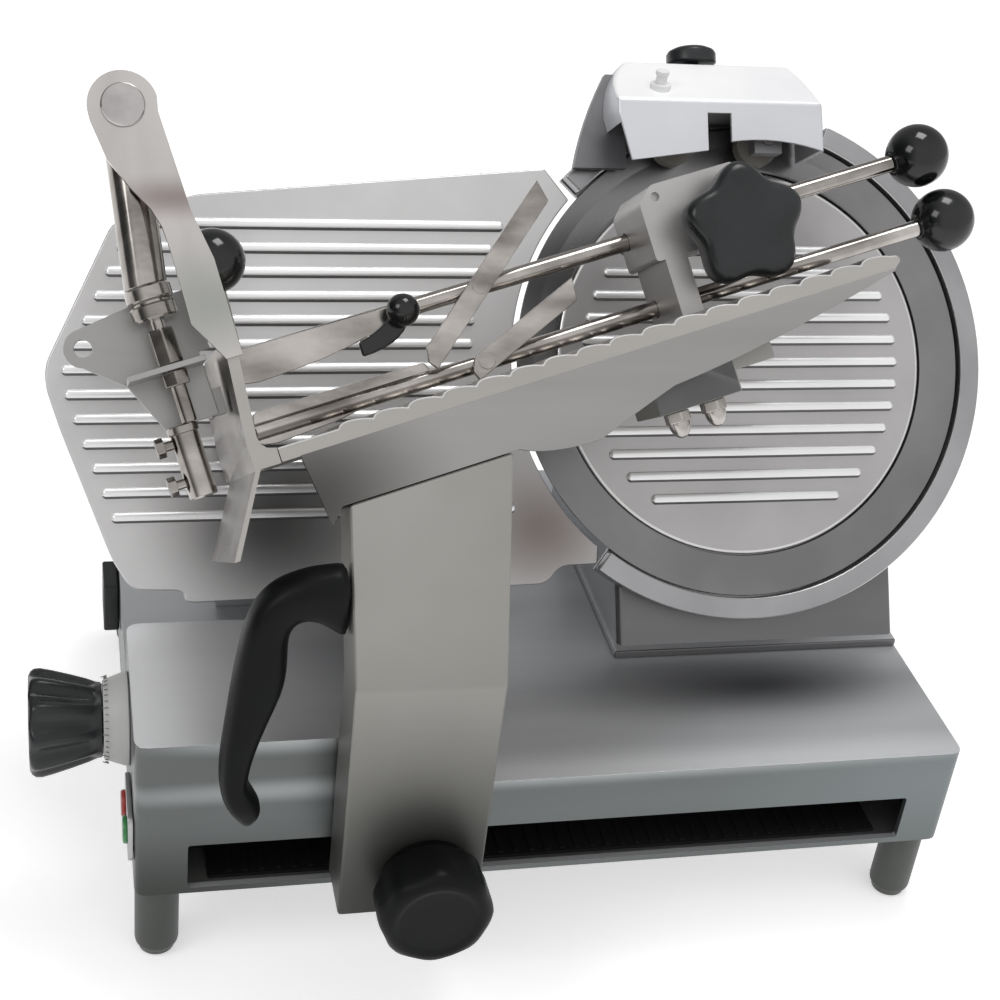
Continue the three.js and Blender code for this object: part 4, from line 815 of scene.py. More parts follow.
def arc(radius: float, start: float, end: float, count: int, centre: Flat = (0.0, 0.0)) -> list[Flat]:
    """Gives points along an arc.

    Args:
        radius: The radius.
        start: First angle in degrees.
        end: Last angle in degrees.
        count: Number of steps.
        centre: The arc's centre.

    Returns:
        The points, with both ends.
    """
    turns = [math.radians(start + (end - start) * i / count) for i in range(count + 1)]
    return [(centre[0] + radius * math.cos(t), centre[1] + radius * math.sin(t)) for t in turns]


def rounded(corners: Sequence[Flat], radius: float, steps: int = 5, closed: bool = True) -> list[Flat]:
    """Rounds each corner of an outline with a curve.

    Args:
        corners: The outline's corners.
        radius: How far from a corner its curve starts.
        steps: Steps of each curve.
        closed: Whether the outline runs round; otherwise its two end points stay as they are.

    Returns:
        The rounded outline.
    """
    points: list[Flat] = []
    count = len(corners)
    for i, corner in enumerate(corners):
        if not closed and i in (0, count - 1):
            points.append((corner[0], corner[1]))
            continue
        here = Vector(corner)
        ends = []
        for other in (corners[i - 1], corners[(i + 1) % count]):
            way = Vector(other) - here
            ends.append(here + way.normalized() * min(radius, way.length * 0.48))
        for j in range(steps + 1):
            t = j / steps
            spot = ends[0] * (1 - t) ** 2 + here * 2 * t * (1 - t) + ends[1] * t ** 2
            points.append((spot.x, spot.y))
    return points


def rectangle(x0: float, x1: float, y0: float, y1: float) -> list[Flat]:
    """Gives a rectangle's four corners in order."""
    return [(x0, y0), (x1, y0), (x1, y1), (x0, y1)]


def curve(start: Flat, middle: Flat, end: Flat, steps: int = 8) -> list[Flat]:
    """Gives points along a quadratic curve, without its first point.

    Args:
        start: Where it starts.
        middle: The point it bends towards.
        end: Where it ends.
        steps: Number of steps.

    Returns:
        The points after the start.
    """
    points = []
    for i in range(1, steps + 1):
        t = i / steps
        points.append(tuple(a * (1 - t) ** 2 + b * 2 * t * (1 - t) + c * t ** 2
                            for a, b, c in zip(start, middle, end)))
    return points


def lobed(radius: float, waist: float, lobes: int, height: float, count: int) -> list[Spot]:
    """Gives a ring whose radius falls between its lobes.

    Args:
        radius: Radius at the lobes.
        waist: Share of the radius that is lost between them.
        lobes: Number of lobes.
        height: The ring's height.
        count: Number of points.

    Returns:
        The ring's points.
    """
    ring = []
    for i in range(count):
        turn = 2 * math.pi * i / count
        r = radius * (1 - waist * (0.5 - 0.5 * math.cos(lobes * turn)))
        ring.append((r * math.cos(turn), r * math.sin(turn), height))
    return ring


# Sub-assemblies


@dataclass
class Housing:
    """The base: its casting, feet, ribbed strip, switch panel and mains socket."""

    length: float = 497.0
    depth: float = 340.0
    bottom: float = 61.0
    low_top: float = 130.7
    raised_top: float = 169.3
    raised_length: float = 168.0
    raised_depth: float = 114.0
    wall: float = 4.0
    corner: float = 8.0
    rounding: float = 2.4
    slot: tuple[float, float, float] = (219.0, 65.0, 97.0)
    drive_hole: tuple[Flat, Flat] = ((75.0, 131.0), (231.0, 284.0))
    foot_radius: float = 12.8
    foot_inset: Flat = (13.6, 19.0)
    rib_pitch: float = 9.5
    rib_count: int = 41
    strip_box: tuple[Spot, Spot] = ((-207.0, 8.0, 63.8), (207.0, 46.0, 65.8))
    rib_box: tuple[Spot, Spot] = ((-196.0, 10.0, 65.5), (-193.0, 38.0, 66.7))
    panel: tuple[float, ...] = (6.0, 50.0, 81.0, 113.0)
    socket: tuple[float, ...] = (221.0, 251.0, 86.0, 122.0)
    buttons: Flat = (17.0, 39.0)
    button_height: float = 97.0
    seat: Seat = field(default_factory=lambda: Seat(Frame.MACHINE, "base"))

    def hidden(self, centre: Vector, normal: Vector) -> bool:
        """Says whether a face lies in the casting's hollow.

        Args:
            centre: The face's centre.
            normal: The face's normal, which this test doesn't need.

        Returns:
            Whether it lies there.
        """
        half, slack = self.length / 2, 0.1
        raised = centre.x < self.raised_length - half and centre.y < self.raised_depth
        top = self.raised_top if raised else self.low_top
        return (abs(centre.x) < half - self.wall + slack and centre.z < top - self.wall + slack
                and self.wall - slack < centre.y < self.depth - self.wall + slack)

    def casting(self) -> None:
        """Builds the casting from a low and a raised block and cuts its hollow and slot."""
        half, wall = self.length / 2, self.wall
        right = -half + self.raised_length
        low = Bench.slab("base_casting", rounded(rectangle(-half, half, 0, self.depth), self.corner),
                         self.bottom, self.low_top)
        raised = Bench.slab("raised", rounded(rectangle(-half, right, 0, self.raised_depth), self.corner),
                            self.bottom, self.raised_top)
        Bench.bevel(Bench.fuse(low, raised), self.rounding, 3, 50)
        inner = Bench.block("inner", (-half + wall, wall, self.bottom - 5),
                            (half - wall, self.depth - wall, self.low_top - wall))
        upper = Bench.block("upper", (-half + wall, wall, self.bottom),
                            (right - wall, self.raised_depth - wall, self.raised_top - wall))
        reach, slot_low, slot_high = self.slot
        opening = Bench.slab("opening", rounded(rectangle(-reach, reach, slot_low, slot_high), 2.0), -6, 8)
        opening.data.transform(Matrix.Rotation(math.pi / 2, 4, "X"))
        near, far = self.drive_hole
        under = Bench.block("under", (*near, self.low_top - 10), (*far, self.low_top + 5))
        Bench.cut(low, inner, upper, opening, under)
        # The faces in the hollow get painted shade.
        paint(low, SATIN, HOLLOW_SHADE, self.hidden)
        # Painted highlight on the bevelled top edges.
        paint(low, SATIN, EDGE_HIGHLIGHT, lambda centre, normal: 0.25 < normal.z < 0.97 and normal.y < 0.5
              and centre.z > self.low_top - 4)
        # The outer side faces get the painted shade of the base's front.
        paint(low, SATIN, SHADED_FRONT, lambda centre, normal: abs(normal.z) < 0.3
              and (abs(centre.x) > half - 3 or not 3 < centre.y < self.depth - 3))
        self.seat.dress(low, SATIN, "base_housing")

    def feet(self) -> None:
        """Turns one foot and copies it to the four corners."""
        r, top = self.foot_radius, self.bottom - GAP
        profile = [(0, 4), (r - 4.5, 4), (r - 2.4, 5.2), (r - 1.6, 8.5), (r - 0.4, 10), (r, 12), (r, 58),
                   (r - 1, 60), (r - 1, top), (0, top)]
        first = Bench.turned("foot_pattern", profile, steps=48)
        x, y = self.length / 2 - self.foot_inset[0], self.foot_inset[1]
        for end, depth in (("front", y), ("rear", self.depth - y)):
            for side, along in (("left", -x), ("right", x)):
                foot = Bench.copy(first, f"rubber_foot_{end}_{side}", (along, depth, 0.0))
                self.seat.dress(foot, FOOT, f"foot_{end}_{side}")
        bpy.data.objects.remove(first, do_unlink=True)

    def strip(self) -> None:
        """Builds the ribbed strip that is seen through the slot."""
        plate = Bench.block("ribbed_strip", *self.strip_box)
        rib = Bench.bevel(Bench.block("rib", *self.rib_box), 0.4, 2)
        copies = [Bench.copy(rib, "rib", (self.rib_pitch * i, 0, 0)) for i in range(1, self.rib_count)]
        self.seat.dress(Bench.join("ribbed_strip", [plate, *copies, rib]), RUBBER, "track_strip")

    def switch(self) -> None:
        """Builds the switch panel with its two buttons, and the mains socket."""
        x1, z1 = -self.length / 2 - GAP, self.button_height
        panel = Bench.prism("switch_panel", [(x1, y, z) for y, z in rounded(rectangle(*self.panel), 5)],
                            (-3.0, 0.0, 0.0))
        holes = [Bench.rod("hole", (x1 - 9, y, z1), (x1 + 5, y, z1), 8.3) for y in self.buttons]
        Bench.bevel(Bench.cut(panel, *holes), 0.6, 2)
        self.seat.dress(panel, SHEET, "switch_plate")
        for body, y, finish in zip(("start", "stop"), self.buttons, (GREEN, RED)):
            cap = Bench.rod(f"{body}_cap", (x1 - 5.7, y, z1), (x1 - 2.3, y, z1), 8.0, edge=1.2)
            stem = Bench.rod("stem", (x1 - 2.8, y, z1), (x1 + 1.8, y, z1), 7.0)
            Seat(Frame.MACHINE, body).dress(Bench.join(f"{body}_cap", [cap, stem]), finish, f"{body}_button")
        near, far, low, high = self.socket
        inlet = Bench.bevel(Bench.block("mains_socket", (x1 - 10, near, low), (x1, far, high)), 1.5, 3)
        outline = rounded(rectangle(near + 5, far - 5, low + 6, high - 6), 3)
        mouth = Bench.prism("mouth", [(x1 - 15, y, z) for y, z in outline], (11.0, 0.0, 0.0))
        self.seat.dress(Bench.cut(inlet, mouth), BLACK, "mains_inlet")

    def build(self) -> None:
        """Builds every piece of the base."""
        self.casting()
        self.feet()
        self.strip()
        self.switch()


@dataclass
class Pedestal:
    """The hollow casting behind the blade, with the lip round its foot."""

    left: float = 58.3
    right: float = 248.3
    front: float = 112.2
    back: float = 300.0
    floor: float = 131.0
    top: float = 50.0
    face: float = -12.0
    rear: float = -88.0
    wall: float = 4.0
    hub_hole: float = 34.0
    bolt_hole: float = 5.4
    seat: Seat = field(default_factory=lambda: Seat(Frame.MACHINE, "base"))

    def outline(self, x: float, inset: float) -> list[Spot]:
        """Gives the casting's side outline, or that of its hollow.

        Args:
            x: Where the outline lies along the machine.
            inset: How far inside the outer faces it runs.

        Returns:
            The corners, in the machine's frame.
        """
        floor = self.floor - (6.0 if inset else 0.0)
        front, back = self.front + inset / math.cos(TILT), self.back - inset
        top, near, far = self.top - inset, self.face - inset, self.rear + inset
        return [(x, front, floor), on_slope(top, near, x), on_slope(top, far, x), on_slope(-70, far, x),
                (x, back, 152 - inset), (x, back, floor)]

    def build(self) -> None:
        """Builds the casting and its foot lip."""
        length = self.right - self.left
        outer = Bench.prism("pedestal_casting", self.outline(self.left, 0), (length, 0, 0))
        Bench.bevel(outer, 4.0, 4, 30)
        lip = Bench.block("lip", (self.left - 3, self.front - 3, self.floor),
                          (self.right, self.back - 1, self.floor + 5))
        Bench.fuse(outer, Bench.bevel(lip, 1.2, 2))
        inner = Bench.prism("inner", self.outline(self.left + self.wall, self.wall),
                            (length - 2 * self.wall, 0, 0))
        front = Bench.rod("front", (0, 0, self.face + 6), (0, 0, self.face - 10), self.hub_hole)
        back = Bench.rod("back", (0, 0, self.rear + 18), (0, 0, self.rear - 8), self.bolt_hole)
        for hole in (front, back):
            hole.data.transform(Matrix.Translation(BLADE_AXIS) @ Matrix.Rotation(math.pi / 2 - TILT, 4, "X"))
        Bench.cut(outer, inner, front, back)
        # The faces turned to the front get painted shade.
        paint(outer, SATIN, PEDESTAL_SHADE, lambda centre, normal: normal.y < -0.3)
        self.seat.dress(outer, SATIN, "pedestal")


@dataclass
class Blade:
    """The round blade, the ribbed disc in front of it and the guard ring round it."""

    radius: float = 150.0
    bore: float = 28.0
    disc_radius: float = 123.2
    disc_face: float = -1.9
    ring_radius: float = 165.0
    ring_bore: float = 151.5
    ring_back: float = -7.4
    rib_pitch: float = 14.45
    rib_first: float = -86.9
    rib_count: int = 12
    rib_reach: float = 108.0
    fixed: Seat = field(default_factory=lambda: Seat(Frame.BLADE, "base"))
    spinning: Seat = field(default_factory=lambda: Seat(Frame.BLADE, "rotor"))

    def blade(self) -> None:
        """Turns the blade with its bevelled edge."""
        r, bore = self.radius, self.bore
        profile = [(bore, -7.4), (124, -7.4), (139, -3.9), (r - 0.6, -1.4), (r, -1.0), (r - 0.4, -0.7),
                   (139.4, -1.5), (138.8, -1.7), (126, -1.7), (124.4, -2.0), (123.9, -5.0), (bore, -5.0),
                   (bore, -7.4)]
        self.spinning.dress(Bench.turned("round_blade", profile, steps=192), GROUND, "blade", angle=20)

    def disc(self) -> None:
        """Turns the deflector disc and adds its ribs."""
        r, face = self.disc_radius, self.disc_face
        profile = [(0, -4.7), (r, -4.7), (r, -3.2), (r - 0.6, -2.4), (r - 2, face), (0, face)]
        disc = Bench.turned("ribbed_disc", profile, steps=160)
        ribs = []
        for i in range(self.rib_count):
            v = self.rib_first + i * self.rib_pitch
            half = math.sqrt(self.rib_reach ** 2 - v ** 2)
            ribs.append(raised_rib(-half, half, v, face))
        # Painted highlight on the disc's bevelled rim.
        paint(disc, DISC, EDGE_HIGHLIGHT, lambda centre, normal: 0.2 < normal.z < 0.95 and centre.z > -3)
        self.fixed.dress(Bench.join("ribbed_disc", [disc, *ribs]), DISC, "deflector_disc", angle=40)

    def ring(self) -> None:
        """Builds the guard ring from its full sector, its low sector and its bar."""
        sectors = (("guard", 232, 428, 3.0), ("low", 427.5, 480.5, -4.0), ("bar", 480, 494.5, 3.0))
        parts = []
        for name, start, end, front in sectors:
            count = max(4, int((end - start) / 2.5))
            outline = arc(self.ring_radius, start, end, count) + arc(self.ring_bore, end, start, count)
            part = Bench.bevel(Bench.slab(name, outline, self.ring_back, front), 1.2, 3, 45)
            # Painted highlight on the ring's bevelled edges.
            paint(part, RING, EDGE_HIGHLIGHT, lambda centre, normal: 0.3 < normal.z < 0.95)
            parts.append(part)
        self.fixed.dress(Bench.join("guard_band", parts), RING, "guard_ring")

    def build(self) -> None:
        """Builds every piece in the blade's plane."""
        self.blade()
        self.disc()
        self.ring()


def raised_rib(start: float, end: float, v: float, face: float) -> Thing:
    """Makes one half-round rib with rounded ends by stretching a sphere apart.

    Args:
        start: Where its left end is.
        end: Where its right end is.
        v: Its height on the plate.
        face: The plate's face.

    Returns:
        The rib.
    """
    radius, height = 3.5, 2.4
    Bench.clear()
    bpy.ops.mesh.primitive_uv_sphere_add(segments=20, ring_count=10, radius=radius)
    rib = bpy.context.object
    rib.data.transform(Matrix.Rotation(math.pi / 2, 4, "Y"))
    rib.data.transform(Matrix.Diagonal((1.0, 1.0, height / radius, 1.0)))
    for vertex in rib.data.vertices:
        side = end - radius if vertex.co.x > 0.01 else start + radius if vertex.co.x < -0.01 else None
        vertex.co.x += side if side is not None else (start + end) / 2
    rib.data.transform(Matrix.Translation((0, v, face)))
    # Painted highlight on the rib's upper faces, painted shade on those that face down.
    paint(rib, RIB_HIGHLIGHT, RIB_SHADE, lambda centre, normal: normal.y < -0.4)
    return rib


@dataclass
class Gauge:
    """The ribbed gauge plate to the left of the blade."""

    rib_count: int = 13
    rib_pitch: float = 14.66
    rib_first: float = -90.1
    rib_reach: float = 178.0
    rib_inset: float = 9.0
    back: float = -10.0
    face: float = -1.5
    blade_reach: float = 153.0
    left: tuple[Flat, ...] = ((-346, 103.5), (-395, 86), (-436, 1.2), (-436, -12), (-428, -38), (-400, -115),
                              (-389, -133), (-358, -134.5), (-358, -142))
    seat: Seat = field(default_factory=lambda: Seat(Frame.BLADE, "gauge"))

    def left_at(self, v: float) -> float:
        """Finds the plate's left edge at a height.

        Args:
            v: The height in the blade's plane.

        Returns:
            The edge's place along the plate.
        """
        for (x0, y0), (x1, y1) in zip(self.left, self.left[1:]):
            if y1 <= v <= y0:
                return x0 + (x1 - x0) * (v - y0) / (y1 - y0)
        return self.left[0][0]

    def build(self) -> None:
        """Builds the plate with its arc and its ribs."""
        corners = [(-128, 123), *self.left, (-134, -138), (-126, -127), (-101, -126.5)]
        outline = rounded(corners, 7, closed=False) + arc(self.blade_reach, 229, 137.5, 60)
        plate = Bench.bevel(Bench.slab("ribbed_gauge", outline, self.back, self.face), 1.1, 3, 35)
        # Painted highlight on the plate's bevelled upper edges.
        paint(plate, BLASTED, EDGE_HIGHLIGHT, lambda centre, normal: 0.3 < normal.z < 0.95 and normal.y > 0.1)
        ribs = []
        for i in range(self.rib_count):
            v = self.rib_first + i * self.rib_pitch
            end = -math.sqrt(self.rib_reach ** 2 - v ** 2)
            ribs.append(raised_rib(self.left_at(v) + self.rib_inset, end, v, self.face))
        self.seat.dress(Bench.join("ribbed_gauge", [plate, *ribs]), BLASTED, "gauge_plate", angle=40)


@dataclass
class SideKnob:
    """The flared thickness knob with its marked ring on the left side of the base."""

    start: Spot = (-248.8, 72.0, 132.5)
    flutes: int = 10
    marks: int = 40
    seat: Seat = field(default_factory=lambda: Seat(Frame.MACHINE, "thickness"))

    def place(self) -> Matrix:
        """Gives the matrix that lays the knob along the machine."""
        return laid(self.start, -90, "Y")

    def grip(self) -> None:
        """Lofts the fluted grip through lobed rings and adds its shaft."""
        steps = [(14.9, 20.4, 0.0), (15.4, 21.6, 0.0), (18.0, 22.0, 0.01), (20.0, 22.8, 0.05),
                 (23.0, 24.0, 0.13), (32.0, 26.8, 0.14), (42.0, 29.6, 0.14), (49.0, 31.2, 0.13),
                 (52.4, 31.0, 0.09), (54.4, 29.6, 0.04), (55.6, 27.4, 0.0), (55.6, 24.0, 0.0),
                 (54.4, 22.0, 0.0), (54.2, 12.0, 0.0)]
        grip = Bench.loft("thickness_grip", [lobed(r, waist, self.flutes, z, 120) for z, r, waist in steps])
        shaft = Bench.rod("shaft", (0, 0, -31), (0, 0, 16), 5, edge=0.5)
        profile = [(0, -31), (15.2, -31), (16, -30.2), (16, -25.8), (15.2, -25), (0, -25)]
        cam = Bench.turned("cam", profile, steps=64)
        made = Bench.join("thickness_grip", [grip, shaft, cam])
        made.data.transform(self.place())
        self.seat.dress(made, BLACK, "thickness_knob", angle=45)

    def dial(self) -> None:
        """Turns the off-white ring and lays its marks round it."""
        profile = [(5.4, 0), (27.0, 0), (27.5, 0.6), (27.2, 2.2), (23.1, 13.6), (22.4, 14.4), (5.4, 14.4),
                   (5.4, 0)]
        ring = Bench.turned("dial_ring_body", profile, steps=120)
        ring.data.transform(self.place())
        self.seat.dress(ring, DIAL, "dial_ring")
        marks = []
        for i in range(self.marks):
            end = 6.2 if i % 4 == 0 else 4.6
            mark = Bench.block("mark", (27.6, -0.22, 2.6), (28.1, 0.22, end))
            mark.data.transform(Matrix.Rotation(math.radians(-19.5), 4, "Y"))
            mark.data.transform(Matrix.Rotation(2 * math.pi * i / self.marks, 4, "Z"))
            marks.append(mark)
        made = Bench.join("dial_marks", marks)
        made.data.transform(self.place())
        self.seat.dress(made, INK)

    def build(self) -> None:
        """Builds the knob and its ring."""
        self.grip()
        self.dial()


@dataclass
class Carriage:
    """The arm that carries the tray, with its lock knob and its hand grip."""

    arm: tuple[float, float] = (-139.8, -59.9)
    front: float = -45.0
    bottom: float = 79.0
    thickness: float = 38.0
    flare: float = 11.0
    lead: float = 176.7
    tray_front: float = 177.0
    tray_under: float = -39.0
    lock_place: Flat = (-92.0, 106.5)
    lock_flutes: int = 8
    seat: Seat = field(default_factory=lambda: Seat(Frame.MACHINE, "carriage"))

    def limb(self) -> None:
        """Builds the bent arm and trims its top under the tray."""
        left, right = self.arm
        plane = on_slope(0, self.lead)
        crease = plane[2] + (self.front - plane[1]) / math.tan(TILT)
        bend = self.thickness * math.tan(TILT / 2)
        back = self.front + self.thickness
        corners = [(left, self.front, self.bottom), (left, back, self.bottom), (left, back, crease - bend),
                   on_slope(0, self.lead - self.thickness, left), on_slope(0, self.lead, left),
                   (left, self.front, crease)]
        arm = Bench.prism("tray_arm", corners, (right - left, 0, 0))
        rise = on_slope(0, self.tray_front)[2] - (crease - bend)
        for vertex in arm.data.vertices:
            if vertex.co.x > right - 1 and vertex.co.z > crease - bend - 0.1:
                vertex.co.x += self.flare * (vertex.co.z - crease + bend) / rise
        above = Bench.block("above", (-400, self.tray_under, -400), (400, 400, 800))
        above.data.transform(Frame.MACHINE.matrix().inverted() @ Frame.TRAY.matrix())
        Bench.cut(arm, above)
        Bench.bevel(arm, 2.2, 3, 20)
        self.seat.dress(arm, ARM, "carriage_arm", angle=25)

    def lock(self) -> None:
        """Lofts the round fluted lock knob at the arm's foot."""
        steps = [(0.0, 25.0, 0.0), (1.0, 26.0, 0.0), (5.0, 26.6, 0.0), (8.4, 29.8, 0.02), (11.8, 31.6, 0.05),
                 (28.0, 32.0, 0.05), (32.4, 31.6, 0.045), (35.2, 30.2, 0.03), (37.2, 27.6, 0.01),
                 (38.0, 24.6, 0.0), (37.2, 22.6, 0.0), (36.6, 20.0, 0.0), (36.8, 10.0, 0.0)]
        knob = Bench.loft("lock_grip", [lobed(r, waist, self.lock_flutes, z, 96) for z, r, waist in steps])
        x, z = self.lock_place
        knob.data.transform(laid((x, self.front - GAP, z), 90, "X"))
        Seat(Frame.MACHINE, "lock").dress(knob, GRIP, "lock_knob", angle=45)

    def grip(self) -> None:
        """Lofts the curved hand grip from its root to its tip."""
        reach, drop, middle_height, root_height = 68.0, 147.3, 216.9, 270.2
        depth_half, sides, squareness = 12.5, 24, 0.75
        shares = [(0, 0.499, 0, 0.225), (-0.096, 0.497, -0.053, 0.225), (-0.193, 0.491, -0.114, 0.248),
                  (-0.319, 0.48, -0.182, 0.275), (-0.452, 0.457, -0.265, 0.296),
                  (-0.563, 0.431, -0.34, 0.301), (-0.658, 0.392, -0.4, 0.29), (-0.738, 0.343, -0.443, 0.263),
                  (-0.788, 0.286, -0.456, 0.221), (-0.822, 0.221, -0.458, 0.176),
                  (-0.849, 0.157, -0.459, 0.13), (-0.875, 0.088, -0.472, 0.081),
                  (-0.898, 0.016, -0.503, 0.027), (-0.921, -0.06, -0.574, -0.045),
                  (-0.943, -0.136, -0.652, -0.132), (-0.966, -0.212, -0.712, -0.212),
                  (-0.974, -0.281, -0.746, -0.281), (-0.971, -0.33, -0.751, -0.323),
                  (-0.95, -0.38, -0.72, -0.357), (-0.903, -0.421, -0.681, -0.387),
                  (-0.842, -0.459, -0.65, -0.41), (-0.758, -0.503, -0.646, -0.429)]
        plane = on_slope(0, self.lead)
        arm_front = max(self.front, (root_height - plane[2]) * math.tan(TILT) + plane[1])
        root = self.arm[0] - GAP
        rings = []
        for i, (x0, z0, x1, z1) in enumerate(shares):
            outer = Vector((root + x0 * reach, middle_height + z0 * drop))
            inner = Vector((root + x1 * reach, middle_height + z1 * drop))
            middle, half = (outer + inner) / 2, (outer - inner) / 2
            depth = arm_front + 12 + (middle.y - root_height) * 0.2
            thick = depth_half * (0.8 if i > len(shares) - 3 else 1.0)
            ring = []
            for j in range(sides):
                turn = 2 * math.pi * j / sides
                across, through = (math.copysign(abs(share) ** squareness, share)
                                   for share in (math.cos(turn), math.sin(turn)))
                ring.append((middle.x + half.x * across, depth + through * thick,
                             middle.y + half.y * across))
            rings.append(ring)
        grip = Bench.apply(Bench.loft("curved_grip", rings), "SUBSURF", levels=1, render_levels=1)
        self.seat.dress(grip, GRIP, "hand_grip", angle=60)

    def build(self) -> None:
        """Builds the arm, its knob and its grip."""
        self.limb()
        self.lock()
        self.grip()


@dataclass
class Tray:
    """The tilted tray: wavy floor, end wall with its skirt, and apron."""

    length: float = 369.0
    back: float = 6.0
    front: float = 177.0
    thickness: float = 8.0
    pitch: float = 19.0
    wave: float = 2.6
    apron_top: float = -7.4
    arm_seat: float = -38.7
    apron_thickness: float = 3.0
    seat: Seat = field(default_factory=lambda: Seat(Frame.TRAY, "carriage"))

    def floor(self) -> None:
        """Builds the floor with its toothed top."""
        end, tip, seam, pitch, low = self.length, 5.0, 8.3, self.pitch, -self.thickness
        top = [(end, low / 2)] + curve((end, low / 2), (end, 0), (end - tip, 0), 4)
        s = end - tip
        for _ in range(int((s - seam - pitch) / pitch)):
            peak = (s - pitch * 0.7, self.wave)
            top += curve((s, 0), (s - pitch * 0.35, self.wave), peak, 5)
            top += curve(peak, (s - pitch * 0.92, self.wave), (s - pitch, 0), 3)
            s -= pitch
        outline = [(seam, low), (end - tip, low)] + top + [(seam, 0.0)]
        floor = Bench.slab("wavy_floor", outline, self.back, self.front - 0.4)
        Bench.bevel(floor, 0.9, 2, 60)
        # The floor's faces turned to the front get painted light.
        paint(floor, SHEEN, SHEET_EDGE_LIGHT, lambda centre, normal: normal.z > 0.9)
        # Painted highlight on the floor's bevelled front edges.
        paint(floor, SHEEN, EDGE_HIGHLIGHT, lambda centre, normal: normal.y > 0.25 and normal.z > 0.25)
        self.seat.dress(floor, SHEEN, "tray_floor", angle=28)

    def wall(self) -> None:
        """Builds the end wall, its kinked corner and the skirt under it."""
        seam = 8.0
        corners = [(seam, -self.thickness), (seam, 0), (3.4, 1.4), (1.0, 4.2), (0, seam), (5, 60), (-1, 60),
                   (-6, seam), (-6, -8.3), (-30, -49), (-27, -49), (-3, -8.0)]
        wall = Bench.slab("end_wall", corners, self.back, self.front)
        trim = Bench.block("trim", (-98, -98, 1), (-3, -8.0, 30))
        Bench.bevel(Bench.cut(wall, trim), 0.9, 2, 40)
        # The wall's faces turned to the front get painted light.
        paint(wall, SHEEN, SHEET_EDGE_LIGHT, lambda centre, normal: normal.z > 0.9)
        # Painted highlight on the wall's bevelled front edges.
        paint(wall, SHEEN, EDGE_HIGHLIGHT, lambda centre, normal: normal.x > 0.25 and normal.z > 0.25)
        self.seat.dress(wall, SHEEN, "tray_end_wall", angle=30)

    def apron(self) -> None:
        """Builds the apron under the floor's front edge and the block that seats on the arm."""
        top, seat = self.apron_top, self.arm_seat
        outline = [(18.3, top), (23.3, -47), (31, seat), (129, seat)]
        bends = [(129, seat), (144, -47), (173.4, -47), (191.9, -40.4), (221.4, -31.7), (276.8, -27.9),
                 (364, -8.6)]
        for i in (0, 2, 4):
            outline += curve(*bends[i:i + 3])
        outline.append((364, top))
        back = self.front - self.apron_thickness
        skin = Bench.bevel(Bench.slab("tray_skin", outline, back, self.front), 0.5, 2, 50)
        carried = Bench.bevel(Bench.block("carried", (31, seat, 139), (134, top, back + GAP)), 1.0, 2)
        self.seat.dress(Bench.join("tray_skin", [skin, carried]), APRON, "tray_apron")

    def build(self) -> None:
        """Builds the tray's three sheets."""
        self.floor()
        self.wall()
        self.apron()


